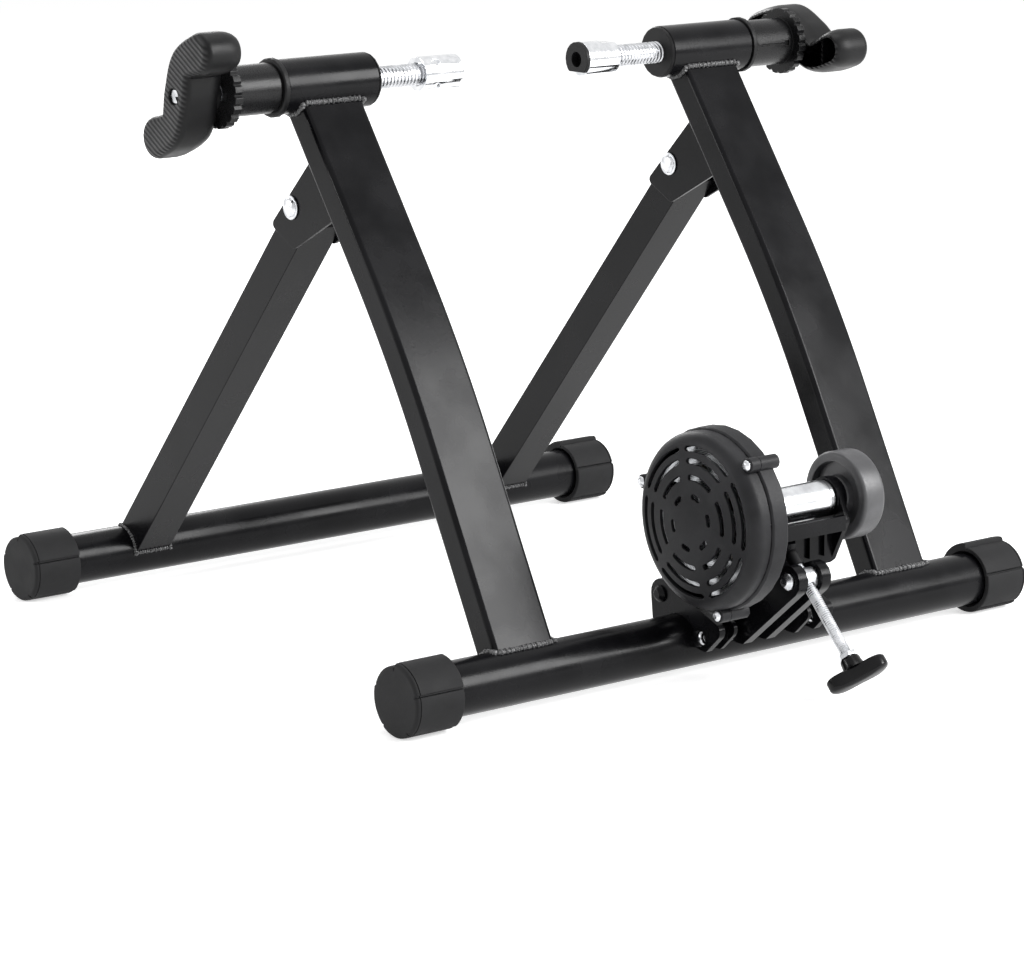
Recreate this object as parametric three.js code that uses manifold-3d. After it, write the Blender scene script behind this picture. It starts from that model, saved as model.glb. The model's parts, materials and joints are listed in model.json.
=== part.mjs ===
// Folding turbo trainer: an A-frame stand that clamps a bicycle's rear axle between two screwed cups,
// with a magnetic brake whose roller a tension screw tilts against the tyre.
// Millimetres. +X runs along the foot tubes, +Y from the rear foot to the front foot, +Z up.
// The origin is on the floor, under the middle of the whole stand.
import * as THREE from 'three';
import { mergeVertices } from 'three/addons/utils/BufferGeometryUtils.js';
import Module from 'manifold-3d';

// Driving sizes: stand
const footTubeRadius = 19;
const footTubeWall = 1.6;
const footSpan = 557;
const footSpacing = 474;
const clampForward = 223;
const clampHeight = 400.4;
const standHalfWidth = 172;

// Driving sizes: foot caps, stepped so that turning one changes its height
const capRadius = 24.9;
const capStep = 0.7;
const capLevelCount = 5;
const capLength = 39;
const capEnd = 4;
const capChamfer = 2.4;

// Driving sizes: uprights and legs, rectangular tubes. An upright leans less than the straight line to
// its clamp below its bend, and more above it
const uprightWidth = 50;
const uprightDepth = 22.4;
const lowerLeanLess = 3.205;
const upperLeanMore = 4.595;
const uprightLead = 4.7;
const bendRadius = 970;
const uprightWall = 1.6;
const uprightCorner = 3.6;
const legWidth = 30;
const legDepth = 27.4;
const legWall = 1.5;
const legCorner = 3;
const legDrop = 6;
const legEndRadius = 7.5;

// Driving sizes: fork brackets and hinge bolts, placed down and away from the upright's upper line
const hingeBelow = 63.8;
const hingeReach = 53.9;
const forkThickness = 3;
const forkCorner = 4;
const forkTopRise = 13.2;
const forkOuterReach = 24.1;
const forkBottomReach = 13.2;
const forkBottomDrop = 21;
const forkInnerDrop = 29.7;
const hingeBoltRadius = 5;
const hingeHeadRadius = 8.5;
const hingeHeadHeight = 3.4;
const hingeNutHeight = 5.5;
const hingeBushRadius = 7.5;

// Driving sizes: axle clamps, from the middle of the stand outwards
const barrelRadius = 19;
const barrelWall = 2;
const barrelLength = 76;
const spindleRadius = 8;
const clampNutLength = 34;
const endBushLength = 12;
const endBushLip = 1.8;
const lockRingRadius = 20.6;
const lockRingLength = 4.4;
const sleeveRadius = 17.6;
const sleeveLength = 37;
const sleeveFlangeRadius = 25;
const sleeveFlangeLength = 6.4;
const sleeveToothDepth = 2.2;
const sleeveToothCount = 20;
const sleeveSlitWidth = 1.2;
const sleeveSlitDepth = 1;
const sleeveLatch = 4;
const leftCupTip = 56;
const rightCupTip = 59;
const cupLength = 33;
const cupRadius = 12.4;
const cupBore = 8.6;
const cupBoreDepth = 14;
const crownNotch = 4.2;
const crownNotchCount = 6;
const wrenchSlotWidth = 7;
const wrenchSlotLength = 11;
const wrenchSlotDepth = 3;
const rightCupLength = 28.5;
const cupFlatInset = 1.6;
const cupFlatLength = 12;
const neckRadius = 5.8;
const neckLength = 14.8;
const insertLength = 3;
const insertRadius = 12.8;
const insertFlatInset = 3.7;
const insertBore = 5.6;
const insertDepth = 7;
const insertTongueRadius = 8.2;
const insertTongueLength = 8;

// Driving sizes: clamp handles
const handleClearance = 3.6;
const handleDepth = 30.5;
const handleHalfBand = 14.5;
const handleWall = 3;
const handleReach = 41.2;
const handleEndBend = 4;
const handleBend = 11;
const handleBendAlong = 20;
const handleWaistShare = 0.12;
const handleEdge = 4;
const handleHubRadius = 12.5;
const handleSocket = 8;
const handleRib = 2;
const handleBoltRadius = 3;
const handleBoltHead = 5.2;
const handleBoltHeadHeight = 4;
const handleBoltGrip = 10;
const handleBoltSink = 6;
const leftHandleTurn = 42;
const rightHandleTurn = 0.5;

// Driving sizes: resistance unit, placed from the rear foot tube's axis
const pivotForward = 18;
const pivotRise = 30;
const rollerBack = 45;
const rollerRise = 95.1;
const pivotBossRadius = 10.6;
const pivotBoltRadius = 4;
const pivotHeadRadius = 6;
const pivotHeadHeight = 3.8;
const pivotSleeveRadius = 7;
const rollerRadius = 13;
const rollerStart = -22.6;
const rollerEnd = 56.6;
const rollerWall = 3;
const shaftRadius = 5;
const bearingRadius = 11;
const bearingWidth = 7;
const bearingCorner = 0.8;
const armThickness = 4;
const armBossRadius = 14.6;
const armBossLength = 8;
const leftArmStart = -31;
const rightArmStart = 58;
const webFace = 52.6;
const webThickness = 3.6;
const webFoot = 51;
const webFootCorner = 6;
const shelfRise = 79;
const shelfThickness = 3.4;
const lipFace = 66;
const lipThickness = 4;
const lipRise = 86;
const lipCorner = 4;
const armHoleRadius = 5;
const webRibDepth = 3;
const webRibThickness = 2.2;
const webRibCount = 6;
const webRibRise = 6.1;
const flywheelRadius = 31;
const flywheelStart = 66.6;
const flywheelWidth = 20;
const flywheelRim = 6.5;
const flywheelDish = 5;
const flywheelHubRadius = 13;
const flywheelEdge = 3;
const flywheelNutRadius = 8.5;
const flywheelNutLength = 5;

// Driving sizes: brake housing
const housingFace = -60;
const housingSplit = -46;
const housingBackFace = -31.6;
const housingFrontRadius = 61;
const housingBackRadius = 63;
const housingWall = 2.4;
const housingShoulder = 6;
const grilleRadius = 54.5;
const grilleDome = 4.6;
const domeShares = [0, 0.67, 1];
const slotWidth = 3.2;
const slotRadii = [50.2, 42, 31, 18.5];
const slotHalfAngles = [24.5, 22, 19, 8];
const slotSectors = 6;
const slotPhase = 15;
const screwCircle = 64.6;
const screwBossRadius = 5;
const screwBossTail = -29.4;
const screwPhase = 45;
const housingScrewCount = 3;
const housingScrewRadius = 2;
const housingScrewHead = 3.7;
const housingScrewHeadHeight = 2.4;
const rotorRadius = 51;
const rotorStart = -53;
const rotorThickness = 3;
const rotorHubRadius = 12;
const rotorHubLength = 7;
const rotorVentRadius = 6;
const rotorVentCircle = 33;
const rotorVentCount = 6;
const shaftHeadRadius = 8;
const shaftHeadLength = 4;
const magnetRadius = 8;
const magnetLength = 5;
const magnetCircle = 38;
const magnetCount = 8;
const magnetPlateRadius = 49;
const magnetPlateThickness = 2;
const shaftOpeningRadius = 8;

// Driving sizes: base block on the rear foot tube
const baseStart = -36.6;
const baseEnd = 67.6;
const baseCheek = 5;
const saddleWall = 4;
const cheekFrontForward = 20;
const cheekFrontRise = 12;
const cheekFrontRadius = 7;
const cheekRearBack = 38;
const cheekRearRise = 14;
const cheekRearRadius = 6;
const cheekFootBack = 28;
const cheekFootRise = 2;
const cheekFootRadius = 4.2;
const swivelSide = 11.5;
const swivelBack = 76;
const swivelRise = 51.1;
const lugRadius = 11;
const lugThickness = 8;
const lugGap = 13;
const lugHeelBack = 20;
const lugHeelRise = 15;
const lugHeelRadius = 6;
const gussetThickness = 3;
const gussetSides = [-22, 46];
const baseScrewHead = 5;
const baseScrewHeadHeight = 3.6;
const baseScrewBoss = 6.4;
const baseScrewBossReach = 25.6;
const baseScrewSide = -12;
const baseScrewAngle = 165;

// Driving sizes: tension screw, its swivel nut, cap and knob
const screwAngle = 46.5;
const tensionRadius = 4;
const tensionTip = 18;
const knobDistance = 78;
const swivelRadius = 7.4;
const swivelPinRadius = 3.6;
const swivelPinBite = 1.5;
const swivelHeadRadius = 6;
const swivelHeadHeight = 4.4;
const tipRadius = 2.8;
const tipCapRadius = 5;
const tipCapLength = 8;
const tipGap = 0.5;
const padAngle = 20;
const padWidth = 12;
const padUp = 6;
const padDown = 20;
const padDepth = 5;
const knobWing = 16;
const knobWingRadius = 5.8;
const knobMiddleRadius = 8;
const knobThickness = 11;
const knobEdge = 2;
const knobHubRadius = 7;
const knobHubLength = 8;
const knobNutRadius = 6.4;
const knobNutLength = 3.4;
const knobTurn = -40;

// Clearances and working sizes
const fitGap = 0.3;
const overrun = 1;
const mergeDistance = 0.001;

// Facet counts
const tubeSides = 20;
const smallSides = 12;
const innerSides = 12;
const pegSides = 8;
const toothSides = 4;
const bigSides = 30;
const hexSides = 6;
const arcSteps = 3;
const cornerSteps = 2;
// An odd count, so that a narrow flat and not an edge lies on the floor under each cap
const levelSteps = 9;
const bendSteps = 5;

// Places worked out from the driving sizes
const footAxis = capRadius;
const clampAxis = clampHeight;
const radians = THREE.MathUtils.degToRad;
const leaning = (angle) => new THREE.Vector2(Math.sin(radians(angle)), Math.cos(radians(angle)));
const footPoint = new THREE.Vector2(0, footAxis);
const clampPoint = new THREE.Vector2(clampForward, clampAxis);
const straightLean = THREE.MathUtils.radToDeg(Math.atan2(clampForward, clampAxis - footAxis));
const lowerLean = straightLean - lowerLeanLess;
const upperLean = straightLean + upperLeanMore;
const lowerRun = leaning(lowerLean);
const upperRun = leaning(upperLean);
const awayFromUpright = new THREE.Vector2(upperRun.y, -upperRun.x);
const uprightTop = clampPoint.clone().addScaledVector(awayFromUpright, uprightLead);
const lowerLength = uprightTop.clone().sub(footPoint).cross(upperRun) / lowerRun.cross(upperRun);
const uprightKnee = footPoint.clone().addScaledVector(lowerRun, lowerLength);
const hingePoint = uprightTop.clone();
hingePoint.addScaledVector(upperRun, -hingeBelow).addScaledVector(awayFromUpright, hingeReach);
const hingeForward = hingePoint.x;
const hingeHeight = hingePoint.y;
const legRun = new THREE.Vector2(footSpacing - hingeForward, footAxis - hingeHeight);
const legLength = legRun.length();
const legAngle = legRun.angle();
const legLean = Math.asin(legDrop / legLength);
const forkOffset = legWidth / 2 + fitGap;
const barrelStart = standHalfWidth - barrelLength / 2;
const barrelEnd = standHalfWidth + barrelLength / 2;
const lockRingStart = barrelEnd + fitGap;
const sleeveStart = lockRingStart + lockRingLength + fitGap;
const sleeveFlangeStart = sleeveStart + sleeveLength;
const sleeveEnd = sleeveFlangeStart + sleeveFlangeLength;
const handleStart = sleeveEnd + handleClearance;
const handleEnd = handleStart + handleDepth;

// Finishes
const finish = (color, roughness, metalness) => new THREE.MeshStandardMaterial({ color, roughness, metalness });
const blackPaint = finish(0x17181a, 0.42, 0.35);
const blackPlastic = finish(0x232425, 0.62, 0);
const darkRubber = finish(0x1a1a1b, 0.85, 0);
const brightZinc = finish(0xc9cbce, 0.3, 1);
const polishedSteel = finish(0xdadbdd, 0.16, 1);
const greyPaint = finish(0x3b3c3e, 0.5, 0.4);
const bareAluminium = finish(0xbfc1c4, 0.35, 1);
const magnetNickel = finish(0xd2d0cb, 0.25, 1);

// A closed geometry, turned inside out if need be, as a solid that can be cut and joined
const wasm = await Module();
wasm.setup();

function solidOf(geometry) {
  const bare = geometry.clone();
  bare.deleteAttribute('normal');
  bare.deleteAttribute('uv');
  const merged = mergeVertices(bare, mergeDistance);
  const points = merged.getAttribute('position').array;
  const corners = merged.getIndex().array;
  const kept = [];
  for (let i = 0; i < corners.length; i += 3) {
    const [a, b, c] = corners.slice(i, i + 3);
    if (a !== b && b !== c && c !== a) kept.push(a, b, c);
  }
  if (signedVolume(points, kept) < 0) kept.reverse();
  return new wasm.Manifold(new wasm.Mesh({
    numProp: 3,
    vertProperties: new Float32Array(points),
    triVerts: new Uint32Array(kept),
  }));
}

function signedVolume(points, corners) {
  const [a, b, c] = [new THREE.Vector3(), new THREE.Vector3(), new THREE.Vector3()];
  let total = 0;
  for (let i = 0; i < corners.length; i += 3) {
    a.fromArray(points, corners[i] * 3);
    b.fromArray(points, corners[i + 1] * 3);
    c.fromArray(points, corners[i + 2] * 3);
    total += a.dot(b.cross(c)) / 6;
  }
  return total;
}

function geometryOf(solid) {
  const mesh = solid.getMesh();
  const geometry = new THREE.BufferGeometry();
  geometry.setAttribute('position', new THREE.BufferAttribute(new Float32Array(mesh.vertProperties), 3));
  geometry.setIndex(new THREE.BufferAttribute(new Uint32Array(mesh.triVerts), 1));
  geometry.computeVertexNormals();
  return geometry;
}

const joined = (solids) => solids.reduce((whole, next) => whole.add(next));
const moved = (solid, x, y, z) => solid.transform(new THREE.Matrix4().makeTranslation(x, y, z).elements);
const turnedAboutX = (solid, angle) => solid.transform(new THREE.Matrix4().makeRotationX(angle).elements);

// A profile of [place along X, radius] points, turned about the X axis
function revolve(profile, sides) {
  const points = profile.map(([along, radius]) => new THREE.Vector2(radius, along));
  const onAxis = profile[0][1] === 0 && profile.at(-1)[1] === 0;
  if (!onAxis) points.push(points[0].clone());
  const geometry = new THREE.LatheGeometry(points, sides);
  geometry.rotateZ(-Math.PI / 2);
  return solidOf(geometry);
}

const rod = (radius, from, to, sides = tubeSides) =>
  revolve([[from, 0], [from, radius], [to, radius], [to, 0]], sides);

const ring = (inner, outer, from, to, sides = tubeSides) =>
  revolve([[from, inner], [from, outer], [to, outer], [to, inner]], sides);

// A flat outline in the Y and Z directions, as thick as it runs along X
function slab(shape, from, to, curveSegments = arcSteps, bevel = 0, bevelSegments = 2) {
  const geometry = new THREE.ExtrudeGeometry(shape, {
    depth: to - from - 2 * bevel,
    curveSegments,
    bevelEnabled: bevel > 0,
    bevelThickness: bevel,
    bevelSize: bevel,
    bevelOffset: -bevel,
    bevelSegments,
  });
  const yzx = new THREE.Matrix4().makeBasis(
    new THREE.Vector3(0, 1, 0),
    new THREE.Vector3(0, 0, 1),
    new THREE.Vector3(1, 0, 0),
  );
  geometry.applyMatrix4(yzx);
  geometry.translate(from + bevel, 0, 0);
  return solidOf(geometry);
}

function block(fromX, toX, fromY, toY, fromZ, toZ) {
  const geometry = new THREE.BoxGeometry(toX - fromX, toY - fromY, toZ - fromZ);
  geometry.translate((fromX + toX) / 2, (fromY + toY) / 2, (fromZ + toZ) / 2);
  return solidOf(geometry);
}

// The outline of a belt drawn tight round circles of [y, z, radius], in either order round
function belt(circles) {
  const around = circles.reduce((sum, [y, z], i) => {
    const [nextY, nextZ] = circles[(i + 1) % circles.length];
    return sum + y * nextZ - nextY * z;
  }, 0);
  const order = around < 0 ? [...circles].reverse() : circles;
  const leaving = order.map(([y, z, radius], i) => {
    const [nextY, nextZ, nextRadius] = order[(i + 1) % order.length];
    const gap = Math.hypot(nextY - y, nextZ - z);
    return Math.atan2(nextZ - z, nextY - y) - Math.acos((radius - nextRadius) / gap);
  });
  const shape = new THREE.Shape();
  order.forEach(([y, z, radius], i) => {
    const start = leaving[(i + order.length - 1) % order.length];
    let end = leaving[i];
    while (end < start) end += 2 * Math.PI;
    shape.absarc(y, z, radius, start, end, false);
  });
  return shape;
}

function roundedRectangle(width, depth, corner) {
  const [y, z] = [width / 2 - corner, depth / 2 - corner];
  return belt([[y, -z, corner], [y, z, corner], [-y, z, corner], [-y, -z, corner]]);
}

function rectangularTube(width, depth, wall, corner, length) {
  const outer = slab(roundedRectangle(width, depth, corner), 0, length, cornerSteps);
  const inner = roundedRectangle(width - 2 * wall, depth - 2 * wall, corner - wall);
  return outer.subtract(slab(inner, -overrun, length + overrun, cornerSteps));
}

const hexagon = (radius) => {
  const shape = new THREE.Shape();
  for (let i = 0; i < hexSides; i++) {
    const angle = (i / hexSides) * 2 * Math.PI;
    shape.lineTo(radius * Math.cos(angle), radius * Math.sin(angle));
  }
  return shape;
};

// A shape's first point is where its first line starts
function polygon(points) {
  const shape = new THREE.Shape();
  shape.setFromPoints(points.map(([y, z]) => new THREE.Vector2(y, z)));
  return shape;
}

function piece(name, solid, material) {
  const mesh = new THREE.Mesh(geometryOf(solid), material);
  mesh.name = name;
  return mesh;
}

function nest(parent, x, y, z) {
  const group = new THREE.Group();
  group.position.set(x, y, z);
  parent.add(group);
  return group;
}

// Foot tubes and caps
function footTube() {
  const half = footSpan / 2 - capEnd - fitGap;
  return ring(footTubeRadius - footTubeWall, footTubeRadius, -half, half);
}

// Five levels of radius spiral round the cap, the middle one below
function capLevels() {
  const points = [];
  const fullTurn = 2 * Math.PI;
  for (let level = 0; level < capLevelCount; level++) {
    const flatHeight = capRadius + (level - (capLevelCount - 1) / 2) * capStep;
    const radius = flatHeight / Math.cos(Math.PI / (capLevelCount * levelSteps));
    for (let step = 0; step <= levelSteps; step++) {
      const angle = Math.PI / 2 + ((level + step / levelSteps) / capLevelCount) * fullTurn;
      points.push(new THREE.Vector2(radius * Math.cos(angle), radius * Math.sin(angle)));
    }
  }
  return new THREE.Shape(points);
}

function footCap() {
  const outerEnd = footSpan / 2;
  const start = outerEnd - capLength;
  const largest = capRadius + 3 * capStep;
  const envelope = revolve([
    [start, 0],
    [start, largest],
    [outerEnd - capChamfer, largest],
    [outerEnd, largest - 2 * capChamfer],
    [outerEnd, 0],
  ], tubeSides);
  const body = slab(capLevels(), start, outerEnd).intersect(envelope);
  const socket = rod(footTubeRadius + fitGap, start - overrun, outerEnd - capEnd);
  return body.subtract(socket);
}

// The upright seen from the side: its middle line, moved forwards by one amount and back by another
function uprightSide(forwards, ends) {
  const half = radians(upperLean - lowerLean) / 2;
  const tangent = bendRadius * Math.tan(half);
  const bendStart = uprightKnee.clone().addScaledVector(lowerRun, -tangent);
  const lowerAway = new THREE.Vector2(lowerRun.y, -lowerRun.x);
  const bendMiddle = bendStart.clone().addScaledVector(lowerAway, bendRadius);
  const line = (offset) => {
    const bend = Array.from({ length: bendSteps + 1 }, (_, i) => {
      const away = leaning(lowerLean + (i / bendSteps) * (upperLean - lowerLean));
      const out = new THREE.Vector2(away.y, -away.x);
      return bendMiddle.clone().addScaledVector(out, offset - bendRadius);
    });
    const low = footPoint.clone().addScaledVector(lowerRun, -ends).addScaledVector(lowerAway, offset);
    const high = uprightTop.clone().addScaledVector(upperRun, ends).addScaledVector(awayFromUpright, offset);
    return [low, ...bend, high];
  };
  const shape = new THREE.Shape();
  shape.setFromPoints([...line(forwards), ...line(-forwards).reverse()]);
  return shape;
}

function uprightAt(side) {
  const middle = side * standHalfWidth;
  const half = uprightWidth / 2;
  const inner = half - uprightWall;
  const outerSide = uprightSide(uprightDepth / 2, uprightCorner);
  const innerSide = uprightSide(uprightDepth / 2 - uprightWall, 2 * uprightCorner);
  const outer = slab(outerSide, middle - half, middle + half, 1, uprightCorner);
  const hollow = slab(innerSide, middle - inner, middle + inner, 1, uprightCorner - uprightWall, 1);
  const reach = standHalfWidth + uprightWidth;
  const footCut = moved(rod(footTubeRadius + fitGap, -reach, reach), 0, 0, footAxis);
  const barrelCut = moved(rod(barrelRadius + fitGap, -reach, reach), 0, clampForward, clampAxis);
  return outer.subtract(joined([hollow, footCut, barrelCut]));
}

function clampBarrel(side) {
  const tube = ring(barrelRadius - barrelWall, barrelRadius, -barrelLength / 2, barrelLength / 2);
  return moved(tube, side * standHalfWidth, clampForward, clampAxis);
}

// Places on a fork bracket are given along the upright's upper line and away from it, from the hinge
function forkBracket(side) {
  const at = (along, reach) => {
    const point = hingePoint.clone().addScaledVector(upperRun, along).addScaledVector(awayFromUpright, reach);
    return [point.x, point.y];
  };
  const outline = belt([
    [...at(forkTopRise, -hingeReach), forkCorner],
    [...at(-forkInnerDrop, -hingeReach), forkCorner],
    [...at(-forkBottomDrop, forkBottomReach), forkCorner],
    [...at(0, forkOuterReach), forkCorner],
  ]);
  const middle = side * standHalfWidth;
  const half = forkOffset + forkThickness;
  const hole = rod(hingeBoltRadius + fitGap, -legWidth, legWidth, smallSides);
  const bolt = moved(hole, middle, hingeForward, hingeHeight);
  const strip = (from, to) => (
    polygon([at(-hingeReach, from), at(hingeReach, from), at(hingeReach, to), at(-hingeReach, to)])
  );
  const face = uprightDepth / 2 + fitGap - hingeReach;
  const behind = slab(strip(-2 * hingeReach, face), middle - legWidth, middle + legWidth, 1);
  const between = slab(strip(face + forkThickness, hingeReach), middle - forkOffset, middle + forkOffset, 1);
  return slab(outline, middle - half, middle + half).subtract(joined([bolt, behind, between]));
}

// A leg's middle line meets the front foot tube's axis and passes below the hinge. It is drawn back from the foot
function frontLeg(side) {
  const middle = side * standHalfWidth;
  const hingeBack = -Math.sqrt(legLength * legLength - legDrop * legDrop);
  const noseBack = hingeBack - legEndRadius;
  const tube = rectangularTube(legWidth, legDepth, legWall, legCorner, -noseBack);
  const place = new THREE.Matrix4().makeBasis(
    new THREE.Vector3(0, 1, 0),
    new THREE.Vector3(1, 0, 0),
    new THREE.Vector3(0, 0, -1),
  );
  place.setPosition(middle, noseBack, 0);
  const face = legDepth / 2;
  const profile = belt([
    [hingeBack, legDrop, legEndRadius],
    [legDepth, face - legCorner, legCorner],
    [legDepth, legCorner - face, legCorner],
    [hingeBack + legCorner, legCorner - face, legCorner],
  ]);
  const trimmed = slab(profile, middle - legWidth, middle + legWidth);
  const footCut = rod(footTubeRadius + fitGap, middle - legWidth, middle + legWidth);
  const bush = moved(rod(hingeBushRadius, -legWidth / 2, legWidth / 2, smallSides), middle, hingeBack, legDrop);
  const bolt = moved(rod(hingeBoltRadius + fitGap, -legWidth, legWidth, smallSides), middle, hingeBack, legDrop);
  const leg = tube.transform(place.elements).intersect(trimmed).add(bush).subtract(joined([footCut, bolt]));
  return moved(turnedAboutX(leg, legLean), 0, legLength, 0);
}

function boltHead(radius, from, height) {
  return revolve([
    [from, 0],
    [from, radius],
    [from - height / 3, radius],
    [from - height, radius / 2],
    [from - height, 0],
  ], smallSides);
}

function nutOf(radius, hole, from, length) {
  const bore = rod(hole, from - overrun, from + length + overrun, smallSides);
  return slab(hexagon(radius), from, from + length, 1).subtract(bore);
}

// Axle clamps, drawn outwards along +X from the middle of the stand

// Round cutters standing across the axis at one place, as many as asked for, evenly spaced
function pegsRound(radius, along, fromReach, toReach, count, phase = 0) {
  const upright = new THREE.Matrix4().makeRotationY(-Math.PI / 2).elements;
  const peg = rod(radius, fromReach, toReach, pegSides).transform(upright);
  const standing = moved(peg, along, 0, 0);
  return Array.from({ length: count }, (_, i) => turnedAboutX(standing, phase + (i / count) * 2 * Math.PI));
}

function leftCup() {
  const tip = leftCupTip;
  const end = tip + cupLength;
  const neckStart = tip + cupBoreDepth;
  const neckEnd = neckStart + neckLength;
  const body = revolve([
    [tip, cupBore],
    [tip, cupRadius],
    [end - fitGap, cupRadius],
    [end, cupRadius - fitGap],
    [end, spindleRadius + fitGap],
    [neckEnd, spindleRadius + fitGap],
    [neckEnd, neckRadius + fitGap],
    [neckStart, neckRadius + fitGap],
    [neckStart, cupBore],
  ], tubeSides);
  const notches = pegsRound(crownNotch / 2, tip, cupBore - overrun, cupRadius + overrun, crownNotchCount);
  const slotAt = end - wrenchSlotLength;
  const slotFloor = cupRadius - wrenchSlotDepth / 2;
  const slots = pegsRound(wrenchSlotWidth / 2, slotAt, slotFloor, cupRadius + overrun, 4, Math.PI / 4);
  return body.subtract(joined([...notches, ...slots]));
}

function rightCup() {
  const tip = rightCupTip;
  const end = tip + rightCupLength;
  const neckStart = tip + cupBoreDepth;
  const body = revolve([
    [tip, cupBore],
    [tip, cupRadius],
    [end, cupRadius],
    [end, neckRadius + fitGap],
    [neckStart, neckRadius + fitGap],
    [neckStart, cupBore],
  ], tubeSides);
  const flats = [-1, 1].map((hand) => {
    const [near, far] = [cupRadius - cupFlatInset, cupRadius + overrun];
    const [low, high] = hand < 0 ? [-far, -near] : [near, far];
    return block(end - cupFlatLength, end + overrun, -cupRadius, cupRadius, low, high);
  });
  return body.subtract(joined(flats));
}

function cupInsert() {
  const tip = rightCupTip - fitGap - insertLength;
  const shoulder = rightCupTip - fitGap;
  const body = revolve([
    [tip, insertBore],
    [tip, insertRadius - fitGap],
    [tip + fitGap, insertRadius],
    [shoulder, insertRadius],
    [shoulder, insertTongueRadius],
    [shoulder + insertTongueLength, insertTongueRadius],
    [shoulder + insertTongueLength, 0],
    [tip + insertDepth, 0],
    [tip + insertDepth, insertBore],
  ], tubeSides);
  const flat = insertRadius - insertFlatInset;
  const below = -insertRadius - overrun;
  return body.subtract(block(tip - overrun, shoulder, -insertRadius, insertRadius, below, -flat));
}

// Drawn for the left cup; the right one is the same, wound out as far as its cup is
function spindle() {
  const neckStart = leftCupTip + cupBoreDepth + fitGap;
  const end = handleStart + handleSocket;
  return revolve([
    [neckStart, 0],
    [neckStart, neckRadius],
    [neckStart + neckLength, neckRadius],
    [neckStart + neckLength, spindleRadius],
    [end, spindleRadius],
    [end, handleBoltRadius + fitGap],
    [end - handleBoltGrip, handleBoltRadius + fitGap],
    [end - handleBoltGrip, 0],
  ], smallSides);
}

function endBush() {
  const lipEnd = barrelStart - fitGap;
  const bore = spindleRadius + fitGap;
  return revolve([
    [lipEnd - endBushLip, bore],
    [lipEnd - endBushLip, barrelRadius - endBushLip / 2],
    [lipEnd, barrelRadius],
    [lipEnd, barrelRadius - barrelWall - fitGap],
    [barrelStart + endBushLength, barrelRadius - barrelWall - fitGap],
    [barrelStart + endBushLength, bore],
  ], tubeSides);
}

function clampNut() {
  const half = clampNutLength / 2;
  const outer = barrelRadius - barrelWall - fitGap;
  return ring(spindleRadius + fitGap, outer, standHalfWidth - half, standHalfWidth + half, innerSides);
}

function lockRing() {
  const to = lockRingStart + lockRingLength;
  return revolve([
    [lockRingStart, spindleRadius + fitGap],
    [lockRingStart, lockRingRadius],
    [to - overrun, lockRingRadius],
    [to, lockRingRadius - overrun],
    [to, spindleRadius + fitGap],
  ], tubeSides);
}

function lockSleeve() {
  const bore = spindleRadius + fitGap;
  const body = revolve([
    [sleeveStart, bore],
    [sleeveStart, sleeveRadius],
    [sleeveFlangeStart, sleeveRadius],
    [sleeveFlangeStart, sleeveFlangeRadius],
    [sleeveEnd, sleeveFlangeRadius],
    [sleeveEnd, bore],
  ], tubeSides);
  const tooth = rod(sleeveToothDepth, sleeveFlangeStart - overrun, sleeveEnd + overrun, toothSides);
  const atRim = moved(tooth, 0, 0, sleeveFlangeRadius);
  const notches = Array.from({ length: sleeveToothCount }, (_, i) => (
    turnedAboutX(atRim, (i / sleeveToothCount) * 2 * Math.PI)
  ));
  const slitFloor = sleeveRadius - sleeveSlitDepth;
  const half = sleeveSlitWidth / 2;
  const slitEnd = sleeveFlangeStart - sleeveLatch;
  const slit = block(sleeveStart + sleeveLatch, slitEnd, -sleeveRadius, -slitFloor, -half, half);
  const latchHalf = sleeveLatch / 2;
  const latchFloor = sleeveRadius - sleeveLatch / 2;
  const latch = block(
    slitEnd - sleeveLatch,
    slitEnd,
    -sleeveRadius,
    -latchFloor,
    -latchHalf,
    latchHalf,
  );
  return body.subtract(joined([...notches, slit, latch]));
}

// The handle's outline follows an S-shaped middle line, nearer to it at each arm's waist, with round ends
function handleOutline(halfBand) {
  const middle = new THREE.SplineCurve([
    new THREE.Vector2(-handleReach, -handleEndBend),
    new THREE.Vector2(-handleBendAlong, -handleBend),
    new THREE.Vector2(0, 0),
    new THREE.Vector2(handleBendAlong, handleBend),
    new THREE.Vector2(handleReach, handleEndBend),
  ]);
  const steps = 12;
  const endSteps = 5;
  const sideOf = (hand) => Array.from({ length: steps + 1 }, (_, i) => {
    const tangent = middle.getTangentAt(i / steps);
    const waist = Math.sin((i / steps) * 2 * Math.PI);
    const half = halfBand * (1 - handleWaistShare * waist * waist);
    return middle.getPointAt(i / steps).add(new THREE.Vector2(tangent.y, -tangent.x).multiplyScalar(hand * half));
  });
  const roundEnd = (share, hand) => {
    const centre = middle.getPointAt(share);
    const start = middle.getTangentAt(share).angle() - (hand * Math.PI) / 2;
    return Array.from({ length: endSteps - 1 }, (_, i) => {
      const angle = start + ((i + 1) / endSteps) * Math.PI;
      return centre.clone().add(new THREE.Vector2(Math.cos(angle), Math.sin(angle)).multiplyScalar(halfBand));
    });
  };
  const shape = new THREE.Shape();
  shape.setFromPoints([...sideOf(1), ...roundEnd(1, 1), ...sideOf(-1).reverse(), ...roundEnd(0, -1)]);
  return shape;
}

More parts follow.
